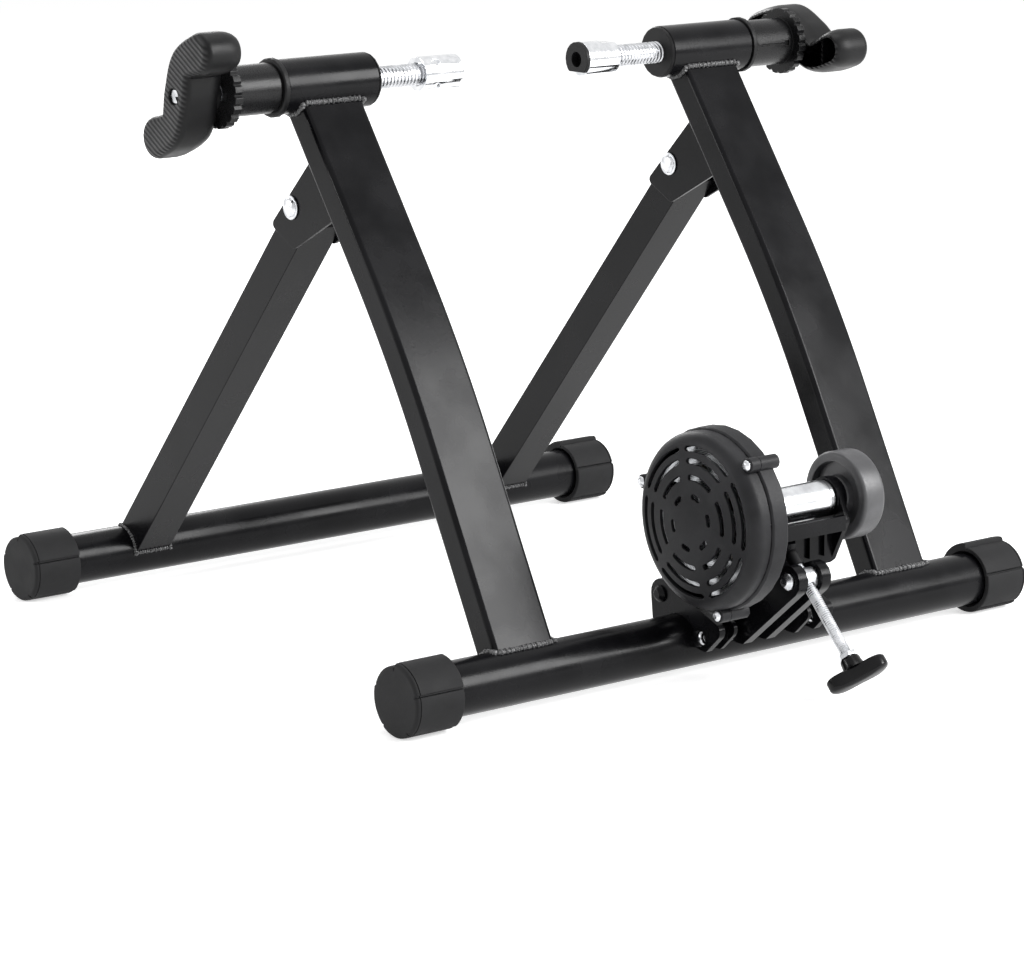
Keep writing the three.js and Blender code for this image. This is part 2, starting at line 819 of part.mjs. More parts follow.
function clampHandle(turn) {
  const lead = handleEdge + overrun;
  const outer = slab(handleOutline(handleHalfBand), handleStart - lead, handleEnd, 1, handleEdge);
  const reach = handleReach + 2 * handleHalfBand;
  const shell = outer.subtract(block(handleStart - 2 * lead, handleStart, -reach, reach, -reach, reach));
  const pocketEnd = handleEnd - handleWall;
  const pocket = slab(handleOutline(handleHalfBand - handleWall), handleStart - overrun, pocketEnd, 1);
  const ribStart = handleStart + handleSocket;
  const ribs = [-1, 1].map((hand) => {
    const middle = hand * (handleHubRadius + (handleReach - handleHubRadius) / 2);
    return block(ribStart, pocketEnd, middle - handleRib / 2, middle + handleRib / 2, -reach, reach);
  });
  const filled = pocket.intersect(joined([...ribs, rod(handleHubRadius, handleStart, pocketEnd)]));
  const socket = rod(spindleRadius + fitGap, handleStart - overrun, handleStart + handleSocket + fitGap, smallSides);
  const boltHole = rod(handleBoltRadius + fitGap, handleStart, handleEnd + overrun, smallSides);
  const sink = rod(handleBoltHead + fitGap, handleEnd - handleBoltSink, handleEnd + overrun, smallSides);
  const whole = shell.subtract(pocket).add(filled).subtract(joined([socket, boltHole, sink]));
  return turnedAboutX(whole, radians(turn));
}

function handleBolt() {
  const underHead = handleEnd - handleBoltSink + fitGap;
  const tip = handleStart + handleSocket - handleBoltGrip + fitGap;
  const head = slab(hexagon(handleBoltHead), underHead, underHead + handleBoltHeadHeight, 1);
  return head.add(rod(handleBoltRadius, tip, underHead + fitGap, smallSides));
}

// Resistance unit. Places on it are measured from its tilt pivot, given as back and up from the rear foot's axis
const fromPivot = (back, rise) => [-back - pivotForward, rise - pivotRise];
const [rollerY, rollerZ] = fromPivot(rollerBack, rollerRise);

// A flat outline in the X and Z directions, as thick as it runs along Y
function facingSlab(shape, fromY, toY, curveSegments = arcSteps) {
  const geometry = new THREE.ExtrudeGeometry(shape, { depth: toY - fromY, curveSegments, bevelEnabled: false });
  geometry.applyMatrix4(new THREE.Matrix4().makeBasis(
    new THREE.Vector3(1, 0, 0),
    new THREE.Vector3(0, 0, 1),
    new THREE.Vector3(0, -1, 0),
  ));
  geometry.translate(0, toY, 0);
  return solidOf(geometry);
}

// Where the screw's tip cap meets its pad at rest, and the pad's two directions
const tipDirection = [Math.cos(radians(screwAngle)), Math.sin(radians(screwAngle))];
const padNormal = [Math.cos(radians(padAngle)), Math.sin(radians(padAngle))];
const padReach = tipCapRadius + tipGap;
const padPoint = [
  swivelBack - tensionTip * tipDirection[0] - padReach * padNormal[0],
  swivelRise + tensionTip * tipDirection[1] + padReach * padNormal[1],
];

function pressurePad() {
  const corner = (up, deep) => {
    const back = padPoint[0] + up * padNormal[1] - deep * padNormal[0];
    return fromPivot(back, padPoint[1] + up * padNormal[0] + deep * padNormal[1]);
  };
  const [upper, lower] = [padUp, -padDown];
  const outline = polygon([corner(upper, 0), corner(lower, 0), corner(lower, padDepth), corner(upper, padDepth)]);
  return slab(outline, swivelSide - padWidth / 2, swivelSide + padWidth / 2, 1);
}

function rollerBracket() {
  const outline = belt([
    [0, 0, pivotBossRadius],
    [rollerY, rollerZ, armBossRadius],
    [...fromPivot(lipFace - lipCorner, lipRise - lipCorner), lipCorner],
    [...fromPivot(webFace - lipCorner, webFoot + lipCorner), lipCorner],
  ]);
  const leftArmEnd = leftArmStart + armThickness;
  const rightArmEnd = rightArmStart + armThickness;
  const arms = [slab(outline, leftArmStart, leftArmEnd), slab(outline, rightArmStart, rightArmEnd)];
  const bossAt = (from) => moved(rod(armBossRadius, from, from + armBossLength), 0, rollerY, rollerZ);
  const leftBoss = bossAt(leftArmStart);
  const rightBossStart = rollerEnd + 2 * fitGap;
  const rightBoss = bossAt(rightBossStart);
  const [webBack, webLow] = fromPivot(webFace, webFoot);
  const [lipBack, lipHigh] = fromPivot(lipFace, lipRise);
  const shelfHigh = fromPivot(0, shelfRise)[1];
  const webShape = belt([
    [leftArmStart + webFootCorner, webLow + webFootCorner, webFootCorner],
    [rightArmEnd - webFootCorner, webLow + webFootCorner, webFootCorner],
    [rightArmEnd - webThickness, shelfHigh - webThickness, webThickness],
    [leftArmStart + webThickness, shelfHigh - webThickness, webThickness],
  ]);
  const web = facingSlab(webShape, webBack, webBack + webThickness);
  const shelfLow = shelfHigh - shelfThickness;
  const [shelfLeft, shelfRight] = [leftArmEnd - fitGap, rightArmStart + fitGap];
  const shelf = block(shelfLeft, shelfRight, lipBack, webBack + webThickness, shelfLow, shelfHigh);
  const lip = block(shelfLeft, shelfRight, lipBack, lipBack + lipThickness, shelfLow, lipHigh);
  const ribSpan = rightArmEnd - leftArmStart - 2 * webFootCorner;
  const ribs = Array.from({ length: webRibCount }, (_, i) => {
    const middle = leftArmStart + webFootCorner + ((i + 0.5) / webRibCount) * ribSpan;
    const half = webRibThickness / 2;
    const ribBack = webBack - webRibDepth;
    return block(middle - half, middle + half, ribBack, webBack + fitGap, webLow + webRibRise, shelfLow + fitGap);
  });
  const pivotHole = rod(pivotBoltRadius + fitGap, leftArmStart - overrun, rightArmEnd + overrun, smallSides);
  const shaftBore = rod(shaftOpeningRadius, leftArmStart - overrun, rightArmEnd + 2 * armBossLength);
  const shaftHole = moved(shaftBore, 0, rollerY, rollerZ);
  const seat = bearingRadius + fitGap;
  const seatDepth = bearingWidth + fitGap;
  const leftSeatEnd = leftArmStart + armBossLength;
  const leftSeat = moved(rod(seat, leftSeatEnd - seatDepth, leftSeatEnd + overrun), 0, rollerY, rollerZ);
  const rightSeat = moved(rod(seat, rightBossStart - overrun, rightBossStart + seatDepth), 0, rollerY, rollerZ);
  const window = belt([
    [...fromPivot(-2 * fitGap, pivotRise + pivotBossRadius), armHoleRadius],
    [...fromPivot(rollerBack - armBossRadius, rollerRise - 2 * armBossRadius), armHoleRadius],
    [...fromPivot(rollerBack - fitGap, rollerRise - 2 * armBossRadius), armHoleRadius],
  ]);
  const windows = slab(window, leftArmStart - overrun, rightArmEnd + overrun);
  const plates = joined([...arms, leftBoss, rightBoss]).subtract(windows);
  const body = joined([plates, web, shelf, lip, ...ribs, pressurePad()]);
  return body.subtract(joined([pivotHole, shaftHole, leftSeat, rightSeat]));
}

// A bearing with its leading corner broken
function bearing(from) {
  const to = from + bearingWidth;
  return revolve([
    [from, shaftRadius + fitGap],
    [from, bearingRadius - bearingCorner],
    [from + bearingCorner, bearingRadius],
    [to, bearingRadius],
    [to, shaftRadius + fitGap],
  ], innerSides);
}

function tiltBolt() {
  const underHead = baseStart - fitGap;
  const tip = baseEnd + fitGap + pivotHeadHeight + fitGap;
  const shank = rod(pivotBoltRadius, underHead - fitGap, tip, smallSides);
  return boltHead(pivotHeadRadius, underHead, pivotHeadHeight).add(shank);
}

const tiltNut = () => nutOf(pivotHeadRadius, pivotBoltRadius + fitGap, baseEnd + fitGap, pivotHeadHeight);

const tiltSleeve = () => ring(
  pivotBoltRadius + fitGap,
  pivotSleeveRadius,
  leftArmStart + armThickness + fitGap,
  rightArmStart - fitGap,
  smallSides,
);

// Everything that spins is drawn about the roller's own axis
function roller() {
  const bore = shaftRadius + fitGap;
  const inside = rollerRadius - rollerWall;
  const plug = 2 * rollerWall;
  const outerEdge = rollerRadius - rollerWall / 3;
  const chamfer = rollerWall / 3;
  return revolve([
    [rollerStart, bore],
    [rollerStart, outerEdge],
    [rollerStart + chamfer, rollerRadius],
    [rollerEnd - chamfer, rollerRadius],
    [rollerEnd, outerEdge],
    [rollerEnd, bore],
  ], bigSides).subtract(ring(bore - fitGap, inside, rollerStart + plug, rollerEnd - plug));
}

// The shaft's hexagonal head lies outside the brake rotor
function shaft() {
  const underHead = rotorStart - fitGap;
  const to = flywheelStart + flywheelWidth + flywheelNutLength + 2 * fitGap;
  const head = slab(hexagon(shaftHeadRadius), underHead - shaftHeadLength, underHead, 1);
  return head.add(rod(shaftRadius, underHead - fitGap, to, smallSides));
}

function flywheel() {
  const bore = shaftRadius + fitGap;
  const from = flywheelStart;
  const to = flywheelStart + flywheelWidth;
  const rimInside = flywheelRadius - flywheelRim;
  const face = (end, inward) => [
    [end, bore],
    [end, flywheelHubRadius],
    [end + inward * flywheelDish, flywheelHubRadius + flywheelEdge / 2],
    [end + inward * flywheelDish, rimInside - flywheelEdge / 2],
    [end, rimInside],
    [end, flywheelRadius - flywheelEdge],
    [end + inward * flywheelEdge, flywheelRadius],
  ];
  return revolve([...face(from, 1), ...face(to, -1).reverse()], bigSides);
}

function rotor() {
  const bore = shaftRadius + fitGap;
  const disc = revolve([
    [rotorStart, bore],
    [rotorStart, rotorRadius],
    [rotorStart + rotorThickness, rotorRadius],
    [rotorStart + rotorThickness, rotorHubRadius],
    [rotorStart + rotorHubLength, rotorHubRadius],
    [rotorStart + rotorHubLength, bore],
  ], bigSides);
  const ventHole = rod(rotorVentRadius, rotorStart - overrun, rotorStart + rotorThickness + overrun, pegSides);
  const vent = moved(ventHole, 0, 0, rotorVentCircle);
  const fullTurn = 2 * Math.PI;
  const vents = Array.from({ length: rotorVentCount }, (_, i) => turnedAboutX(vent, (i / rotorVentCount) * fullTurn));
  return disc.subtract(joined(vents));
}

// Housing shells, drawn about the roller's axis
function screwPlaces() {
  return Array.from({ length: housingScrewCount }, (_, i) => {
    const angle = radians(screwPhase) + (i / housingScrewCount) * 2 * Math.PI;
    return [-screwCircle * Math.cos(angle), screwCircle * Math.sin(angle)];
  });
}

// A slot along part of a circle, with round ends; angles run from the rear upwards
function arcSlot(radius, middle, halfAngle) {
  const half = slotWidth / 2;
  const start = Math.PI - middle - halfAngle;
  const end = Math.PI - middle + halfAngle;
  const at = (distance, angle) => new THREE.Vector2(distance * Math.cos(angle), distance * Math.sin(angle));
  const shares = Array.from({ length: arcSteps + 1 }, (_, i) => i / arcSteps);
  const outer = shares.map((share) => at(radius + half, start + share * (end - start)));
  const inner = shares.map((share) => at(radius - half, end + share * (start - end)));
  const roundEnd = half / radius;
  const shape = new THREE.Shape();
  shape.setFromPoints([...outer, at(radius, end + roundEnd), ...inner, at(radius, start - roundEnd)]);
  return shape;
}

function housingFront() {
  const rim = housingFrontRadius;
  const shoulder = housingFace + housingShoulder;
  const dome = domeShares.map((share) => [housingFace - grilleDome * (1 - share * share), grilleRadius * share]);
  const shell = revolve([
    ...dome,
    [shoulder - housingShoulder / 2, rim - housingShoulder / 4],
    [shoulder, rim],
    [housingSplit, rim],
    [housingSplit, rim - housingWall],
    [housingFace + housingWall, rim - 2 * housingWall],
    [housingFace + housingWall, 0],
  ], bigSides);
  const sectors = Array.from({ length: slotSectors }, (_, i) => radians(slotPhase) + (i / slotSectors) * 2 * Math.PI);
  const slots = sectors.flatMap((middle) => slotRadii.map((radius, row) => (
    slab(arcSlot(radius, middle, radians(slotHalfAngles[row])), housingFace - 2 * grilleDome, shoulder)
  )));
  const boss = rod(screwBossRadius, shoulder, housingSplit, smallSides);
  const bosses = screwPlaces().map(([y, z]) => moved(boss, 0, y, z));
  const inside = rod(rim - housingWall, shoulder, housingSplit + overrun, bigSides);
  const holes = screwPlaces().map(([y, z]) => (
    moved(rod(housingScrewRadius + fitGap, shoulder - overrun, housingSplit + overrun, pegSides), 0, y, z)
  ));
  return joined([shell, ...bosses.map((each) => each.subtract(inside))]).subtract(joined([...slots, ...holes]));
}

function housingBack() {
  const split = housingSplit + fitGap;
  const rim = housingBackRadius;
  const rimEdge = housingWall / 2;
  const shell = revolve([
    [split, rim - housingWall],
    [split, rim - rimEdge],
    [split + rimEdge, rim],
    [housingBackFace - rimEdge, rim],
    [housingBackFace, rim - rimEdge],
    [housingBackFace, shaftOpeningRadius],
    [housingBackFace - housingWall, shaftOpeningRadius],
    [housingBackFace - housingWall, rim - housingWall],
  ], bigSides);
  const boss = rod(screwBossRadius, split, screwBossTail, smallSides);
  const bosses = screwPlaces().map(([y, z]) => moved(boss, 0, y, z));
  const inside = rod(rim - housingWall, split - overrun, housingBackFace - housingWall, bigSides);
  const holes = screwPlaces().map(([y, z]) => (
    moved(rod(housingScrewRadius + fitGap, split - overrun, screwBossTail - screwBossRadius / 2, pegSides), 0, y, z)
  ));
  return joined([shell, joined(bosses).subtract(inside)]).subtract(joined(holes));
}

function housingScrew([y, z]) {
  const underHead = housingFace + housingShoulder - fitGap;
  const tip = screwBossTail - screwBossRadius / 2 - fitGap;
  const shank = rod(housingScrewRadius, underHead - fitGap, tip, smallSides);
  return moved(boltHead(housingScrewHead, underHead, housingScrewHeadHeight).add(shank), 0, y, z);
}

// A plate ring that carries magnets facing the rotor
function magnetPlate() {
  const to = housingBackFace - housingWall - fitGap;
  const from = to - magnetPlateThickness;
  const plate = ring(shaftOpeningRadius + housingWall, magnetPlateRadius, from, to, bigSides);
  const magnet = moved(rod(magnetRadius, from - magnetLength, to - fitGap, pegSides), 0, 0, magnetCircle);
  const fullTurn = 2 * Math.PI;
  const magnets = Array.from({ length: magnetCount }, (_, i) => turnedAboutX(magnet, (i / magnetCount) * fullTurn));
  return joined([plate, ...magnets]);
}

// Base block: two cheeks and two lugs on a saddle that lies over the rear foot tube
function baseBlock() {
  const cheek = belt([
    [pivotForward, pivotRise, pivotBossRadius],
    [-cheekRearBack, cheekRearRise, cheekRearRadius],
    [-cheekFootBack, cheekFootRise, cheekFootRadius],
    [cheekFrontForward, cheekFrontRise, cheekFrontRadius],
  ]);
  const lug = belt([
    [-swivelBack, swivelRise, lugRadius],
    [-cheekFootBack, cheekFootRise, cheekFootRadius],
    [-footTubeRadius / 2, cheekFootRise, cheekFootRadius],
    [-lugHeelBack, lugHeelRise, lugHeelRadius],
  ]);
  const cheeks = [slab(cheek, baseStart, baseStart + baseCheek), slab(cheek, baseEnd - baseCheek, baseEnd)];
  const saddleRing = ring(footTubeRadius, footTubeRadius + saddleWall, baseStart, baseEnd);
  const saddle = saddleRing.intersect(slab(cheek, baseStart, baseEnd));
  const lugs = [-1, 1].map((hand) => {
    const middle = swivelSide + (hand * (lugGap + lugThickness)) / 2;
    return slab(lug, middle - lugThickness / 2, middle + lugThickness / 2);
  });
  const gusset = belt([
    [-cheekRearBack, cheekRearRise, cheekRearRadius],
    [-cheekFootBack, cheekFootRise, cheekFootRadius],
    [-footTubeRadius / 2, cheekFootRise, cheekFootRadius],
    [-footTubeRadius / 2, footTubeRadius, saddleWall / 2],
  ]);
  const gussets = gussetSides.map((side) => slab(gusset, side - gussetThickness / 2, side + gussetThickness / 2));
  const screws = [baseStart + baseCheek / 2, baseScrewSide, baseEnd - baseCheek / 2].map(baseScrewAt);
  const tube = rod(footTubeRadius + fitGap, baseStart - overrun, baseEnd + overrun, bigSides);
  const pivot = moved(
    rod(pivotBoltRadius + fitGap, baseStart - overrun, baseEnd + overrun, smallSides),
    0,
    pivotForward,
    pivotRise,
  );
  const pins = moved(
    rod(swivelPinRadius + fitGap, baseStart, baseEnd, smallSides),
    0,
    -swivelBack,
    swivelRise,
  );
  const body = joined([...cheeks, saddle, ...lugs, ...gussets, ...screws]);
  return body.subtract(joined([tube, pivot, pins]));
}

// A rod standing out from the rear foot tube's axis, below the block's back
function radialRod(radius, side, from, to, sides = smallSides) {
  const turn = radians(baseScrewAngle) - Math.PI / 2;
  const standing = rod(radius, from, to, sides).transform(new THREE.Matrix4().makeRotationY(-Math.PI / 2).elements);
  return moved(turnedAboutX(standing, turn), side, 0, 0);
}

function baseScrewAt(side) {
  const head = radialRod(baseScrewHead, side, footTubeRadius + saddleWall, baseScrewBossReach + baseScrewHeadHeight);
  const boss = radialRod(baseScrewBoss, side, footTubeRadius, baseScrewBossReach);
  return head.add(boss);
}

// Tension screw parts, drawn along +X from the swivel nut's middle towards the screw's tip
function swivelNut() {
  const half = lugGap / 2 - fitGap;
  const barrel = rod(swivelRadius, -half, half).transform(new THREE.Matrix4().makeRotationZ(Math.PI / 2).elements);
  const screwHole = rod(tensionRadius + fitGap, -2 * swivelRadius, 2 * swivelRadius, smallSides);
  const pinFloor = lugGap / 2 - swivelPinBite - fitGap;
  const pinHoles = [-1, 1].map((hand) => {
    const hole = rod(swivelPinRadius + fitGap, pinFloor, half + overrun, smallSides);
    return hole.transform(new THREE.Matrix4().makeRotationZ((hand * Math.PI) / 2).elements);
  });
  return barrel.subtract(joined([screwHole, ...pinHoles]));
}

// A pin lies in a lug, with its head outside and its end in the nut's blind hole; hand is 1 to the left
function swivelPin(hand) {
  const outer = lugGap / 2 + lugThickness + fitGap;
  const end = lugGap / 2 - swivelPinBite;
  const profile = [
    [end, 0],
    [end, swivelPinRadius],
    [outer, swivelPinRadius],
    [outer, swivelHeadRadius],
    [outer + swivelHeadHeight / 3, swivelHeadRadius],
    [outer + swivelHeadHeight, swivelHeadRadius / 2],
    [outer + swivelHeadHeight, 0],
  ];
  const upright = new THREE.Matrix4().makeRotationZ((hand * Math.PI) / 2).elements;
  return revolve(profile, smallSides).transform(upright);
}

// The screw carries the nut that locks its knob
function tensionScrew() {
  const shoulder = tensionTip - tipCapLength - fitGap;
  const nutStart = -knobDistance + knobThickness / 2 + knobHubLength + fitGap;
  const nut = slab(hexagon(knobNutRadius), nutStart, nutStart + knobNutLength, 1);
  return revolve([
    [-knobDistance + fitGap, 0],
    [-knobDistance + fitGap, tensionRadius],
    [shoulder, tensionRadius],
    [shoulder, tipRadius],
    [tensionTip - fitGap, tipRadius],
    [tensionTip - fitGap, 0],
  ], smallSides).add(nut);
}

function tipCap() {
  const steps = 4;
  const dome = Array.from({ length: steps + 1 }, (_, i) => {
    const angle = (i / steps) * (Math.PI / 2);
    return [tensionTip + tipCapRadius * Math.sin(angle), i === steps ? 0 : tipCapRadius * Math.cos(angle)];
  });
  return revolve([
    [tensionTip, 0],
    [tensionTip, tipRadius + fitGap],
    [tensionTip - tipCapLength, tipRadius + fitGap],
    [tensionTip - tipCapLength, tipCapRadius],
    ...dome,
  ], smallSides);
}

function tensionKnob() {
  const outline = belt([
    [knobWing, 0, knobWingRadius],
    [-knobWing, 0, knobWingRadius],
  ]);
  const outside = -knobDistance - knobThickness / 2;
  const inside = -knobDistance + knobThickness / 2;
  const wings = slab(outline, outside, inside, arcSteps, knobEdge);
  const middle = rod(knobMiddleRadius, outside, inside, smallSides);
  const hub = rod(knobHubRadius, -knobDistance, inside + knobHubLength, smallSides);
  const socket = rod(tensionRadius + fitGap, -knobDistance, -knobDistance + 2 * knobThickness, smallSides);
  return turnedAboutX(joined([wings, middle, hub]).subtract(socket), radians(knobTurn));
}

// Assembly
const trainer = new THREE.Group();
const stand = nest(trainer, 0, 0, 0);

const rearFoot = nest(stand, 0, 0, footAxis);
rearFoot.add(piece('rear_foot_tube', footTube(), blackPaint));
addFootCaps(rearFoot, 'rear', 0);

[['left', -1], ['right', 1]].forEach(([hand, side]) => {
  stand.add(piece(`${hand}_upright`, uprightAt(side), blackPaint));
  stand.add(piece(`${hand}_clamp_barrel`, clampBarrel(side), blackPaint));
  stand.add(piece(`${hand}_fork_bracket`, forkBracket(side), blackPaint));
});

function addFootCaps(parent, end, level) {
  const right = piece(`${end}_right_foot_cap`, footCap(), darkRubber);
  const left = piece(`${end}_left_foot_cap`, footCap(), darkRubber);
  const leftSide = nest(parent, 0, 0, 0);
  leftSide.rotation.set(level, 0, Math.PI);
  leftSide.add(left);
  right.rotation.x = level;
  parent.add(right);
}

// Hinge bolts point along +X, with their heads at the stand's left
const hinge = nest(stand, 0, hingeForward, hingeHeight);
const forkOuter = forkOffset + forkThickness + fitGap;
[['left', -standHalfWidth], ['right', standHalfWidth]].forEach(([hand, middle]) => {
  const underHead = middle - forkOuter;
  const underNut = middle + forkOuter;
  const shank = rod(hingeBoltRadius, underHead - fitGap, underNut + hingeNutHeight + fitGap, smallSides);
  const bolt = boltHead(hingeHeadRadius, underHead, hingeHeadHeight).add(shank);
  hinge.add(piece(`${hand}_hinge_bolt`, bolt, brightZinc));
  const nut = nutOf(hingeHeadRadius, hingeBoltRadius + fitGap, underNut, hingeNutHeight);
  hinge.add(piece(`${hand}_hinge_nut`, nut, brightZinc));
});

// The front legs and foot fold as one about the hinge bolts
const frontFold = nest(hinge, 0, 0, 0);
frontFold.rotation.x = legAngle;
frontFold.add(piece('left_front_leg', frontLeg(-1), blackPaint));
frontFold.add(piece('right_front_leg', frontLeg(1), blackPaint));
const frontFoot = nest(frontFold, 0, legLength, 0);
frontFoot.add(piece('front_foot_tube', footTube(), blackPaint));
addFootCaps(frontFoot, 'front', -legAngle);

// The two clamps are alike, one turned half round, apart from their cups
[
  ['left', Math.PI, leftHandleTurn, leftCup(), 0],
  ['right', 0, rightHandleTurn, rightCup(), rightCupTip - leftCupTip],
].forEach(([hand, turn, handleTurn, cup, woundOut]) => {
  const clamp = nest(stand, 0, clampForward, clampAxis);
  clamp.rotation.z = turn;
  clamp.add(piece(`${hand}_clamp_nut`, clampNut(), brightZinc));
  clamp.add(piece(`${hand}_end_bush`, endBush(), blackPlastic));
  clamp.add(piece(`${hand}_lock_ring`, lockRing(), blackPlastic));
  clamp.add(piece(`${hand}_lock_sleeve`, lockSleeve(), blackPlastic));
  clamp.add(piece(`${hand}_axle_cup`, cup, polishedSteel));
  const screw = nest(clamp, woundOut, 0, 0);
  screw.add(piece(`${hand}_spindle`, spindle(), brightZinc));
  screw.add(piece(`${hand}_handle`, clampHandle(handleTurn), blackPlastic));
  screw.add(piece(`${hand}_handle_bolt`, handleBolt(), brightZinc));
  if (hand === 'right') clamp.add(piece('right_cup_insert', cupInsert(), blackPlastic));
});

// Base block and tilting unit
rearFoot.add(piece('base_block', baseBlock(), blackPaint));

const unit = nest(rearFoot, 0, pivotForward, pivotRise);
unit.add(piece('tilt_bolt', tiltBolt(), brightZinc));
unit.add(piece('tilt_nut', tiltNut(), brightZinc));
unit.add(piece('tilt_sleeve', tiltSleeve(), brightZinc));
unit.add(piece('roller_bracket', rollerBracket(), blackPaint));

const brake = nest(unit, 0, rollerY, rollerZ);
brake.add(piece('left_bearing', bearing(leftArmStart + armBossLength - bearingWidth), brightZinc));
brake.add(piece('right_bearing', bearing(rollerEnd + 2 * fitGap), brightZinc));
brake.add(piece('housing_front', housingFront(), blackPlastic));
brake.add(piece('housing_back', housingBack(), blackPlastic));
screwPlaces().forEach((place, i) => brake.add(piece(`housing_screw_${i + 1}`, housingScrew(place), brightZinc)));
brake.add(piece('magnet_plate', magnetPlate(), magnetNickel));

const spinning = nest(brake, 0, 0, 0);
spinning.add(piece('roller_shaft', shaft(), brightZinc));
spinning.add(piece('roller', roller(), polishedSteel));
spinning.add(piece('flywheel', flywheel(), greyPaint));
const flywheelNutStart = flywheelStart + flywheelWidth + fitGap;
const flywheelNut = nutOf(flywheelNutRadius, shaftRadius + fitGap, flywheelNutStart, flywheelNutLength);
spinning.add(piece('flywheel_nut', flywheelNut, brightZinc));
spinning.add(piece('brake_rotor', rotor(), bareAluminium));

// The tension screw slopes up and forwards from under the back of the unit
const tension = nest(rearFoot, swivelSide, -swivelBack, swivelRise);
const screwRun = new THREE.Vector3(0, ...tipDirection);
const leftwards = new THREE.Vector3(-1, 0, 0);
const screwSide = new THREE.Vector3().crossVectors(screwRun, leftwards);
tension.quaternion.setFromRotationMatrix(new THREE.Matrix4().makeBasis(screwRun, leftwards, screwSide));
tension.add(piece('swivel_nut', swivelNut(), brightZinc));
tension.add(piece('left_swivel_pin', swivelPin(1), brightZinc));
tension.add(piece('right_swivel_pin', swivelPin(-1), brightZinc));
tension.add(piece('tip_cap', tipCap(), blackPlastic));
tension.add(piece('tension_screw', tensionScrew(), brightZinc));
tension.add(piece('tension_knob', tensionKnob(), blackPlastic));

// The stand moves so that the origin lies under the middle of the whole object
trainer.updateMatrixWorld(true);
const extent = new THREE.Box3().setFromObject(stand, true);
const centre = extent.getCenter(new THREE.Vector3());
stand.position.set(-centre.x, -centre.y, -extent.min.z);

export default trainer;
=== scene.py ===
import json
import math

import bmesh
import bpy
from mathutils import Matrix, Vector


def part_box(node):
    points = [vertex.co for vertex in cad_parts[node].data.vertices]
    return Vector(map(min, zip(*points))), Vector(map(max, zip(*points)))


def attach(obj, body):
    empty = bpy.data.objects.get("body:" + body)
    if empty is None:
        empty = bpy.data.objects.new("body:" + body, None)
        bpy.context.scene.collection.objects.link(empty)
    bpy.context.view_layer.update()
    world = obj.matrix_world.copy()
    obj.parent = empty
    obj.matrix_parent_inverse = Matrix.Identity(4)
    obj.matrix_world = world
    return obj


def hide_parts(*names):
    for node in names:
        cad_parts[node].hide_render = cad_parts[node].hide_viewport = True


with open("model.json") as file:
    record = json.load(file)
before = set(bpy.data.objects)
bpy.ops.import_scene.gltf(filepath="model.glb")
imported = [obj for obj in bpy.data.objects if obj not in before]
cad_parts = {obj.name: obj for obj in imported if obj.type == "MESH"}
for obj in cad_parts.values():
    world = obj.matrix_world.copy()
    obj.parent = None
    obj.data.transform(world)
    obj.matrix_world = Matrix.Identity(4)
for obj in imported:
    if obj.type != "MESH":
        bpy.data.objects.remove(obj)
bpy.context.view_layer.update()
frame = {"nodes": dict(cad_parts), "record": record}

# A folding turbo trainer. Shapes below are given in millimetres from a point on the floor, under the
# middle of the rear foot tube. +X runs along the tube to the flywheel, +Y to the front foot, +Z up.
mm_in_a_metre = 1000
tube_low, tube_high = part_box("rear_foot_tube")
tube_middle = ((tube_low.x + tube_high.x) / 2, (tube_low.y + tube_high.y) / 2, 0)
stand = Matrix.Translation(tube_middle) @ Matrix.Scale(1 / mm_in_a_metre, 4)
x_axis = Vector((1, 0, 0))
quarter = math.pi / 2
full_turn = 2 * math.pi
# The stand's two sides, and which way along X each lies
sides = (("left", -1), ("right", 1))


def linear(hex_colour):
    """An sRGB hex colour as the linear values that a shader takes."""
    values = [int(hex_colour[i:i + 2], 16) / 255 for i in (1, 3, 5)]
    return [v / 12.92 if v <= 0.04045 else ((v + 0.055) / 1.055) ** 2.4 for v in values] + [1]


def per_mm(size):
    """The scale of a pattern on Object coordinates that repeats every so many millimetres."""
    return mm_in_a_metre / size


def emptied(owner):
    """The node tree of a material or world, with nothing in it."""
    owner.use_nodes = True
    owner.node_tree.nodes.clear()
    return owner.node_tree


def add(tree, kind, settings=(), links=()):
    """A new node. A setting is a socket's name or number, or else one of the node's own options."""
    made = tree.nodes.new(kind)
    options = {name: value for name, value in dict(settings).items() if hasattr(made, str(name))}
    for name, value in options.items():
        setattr(made, name, value)
    for name, value in dict(settings).items():
        if name not in options:
            made.inputs[name].default_value = value
    for name, source in dict(links).items():
        tree.links.new(source, made.inputs[name])
    return made


def new_finish(name, shader):
    """A material whose Principled shader has these fixed values, with its tree, shader and coordinates."""
    material = bpy.data.materials.new(name)
    tree = emptied(material)
    surface = add(tree, "ShaderNodeBsdfPrincipled", shader)
    add(tree, "ShaderNodeOutputMaterial", links={"Surface": surface.outputs[0]})
    place = add(tree, "ShaderNodeTexCoord").outputs["Object"]
    return material, tree, surface, place


def noise(tree, place, size, detail=2.0, stretch=(1, 1, 1)):
    """Soft random blotches, so many millimetres across."""
    mapped = add(tree, "ShaderNodeMapping", {"Scale": stretch}, {"Vector": place}).outputs[0]
    made = add(tree, "ShaderNodeTexNoise", {"Scale": per_mm(size), "Detail": detail}, {"Vector": mapped})
    return made.outputs["Fac"]


def waves(tree, place, spacing, settings):
    """Even waves, so many millimetres from crest to crest."""
    # The texture takes the sine of 20 times its scaled place
    sine_factor = 20
    scale = per_mm(spacing) * full_turn / sine_factor
    options = {"wave_profile": "SIN", "Scale": scale, **settings}
    return add(tree, "ShaderNodeTexWave", options, {"Vector": place}).outputs["Fac"]


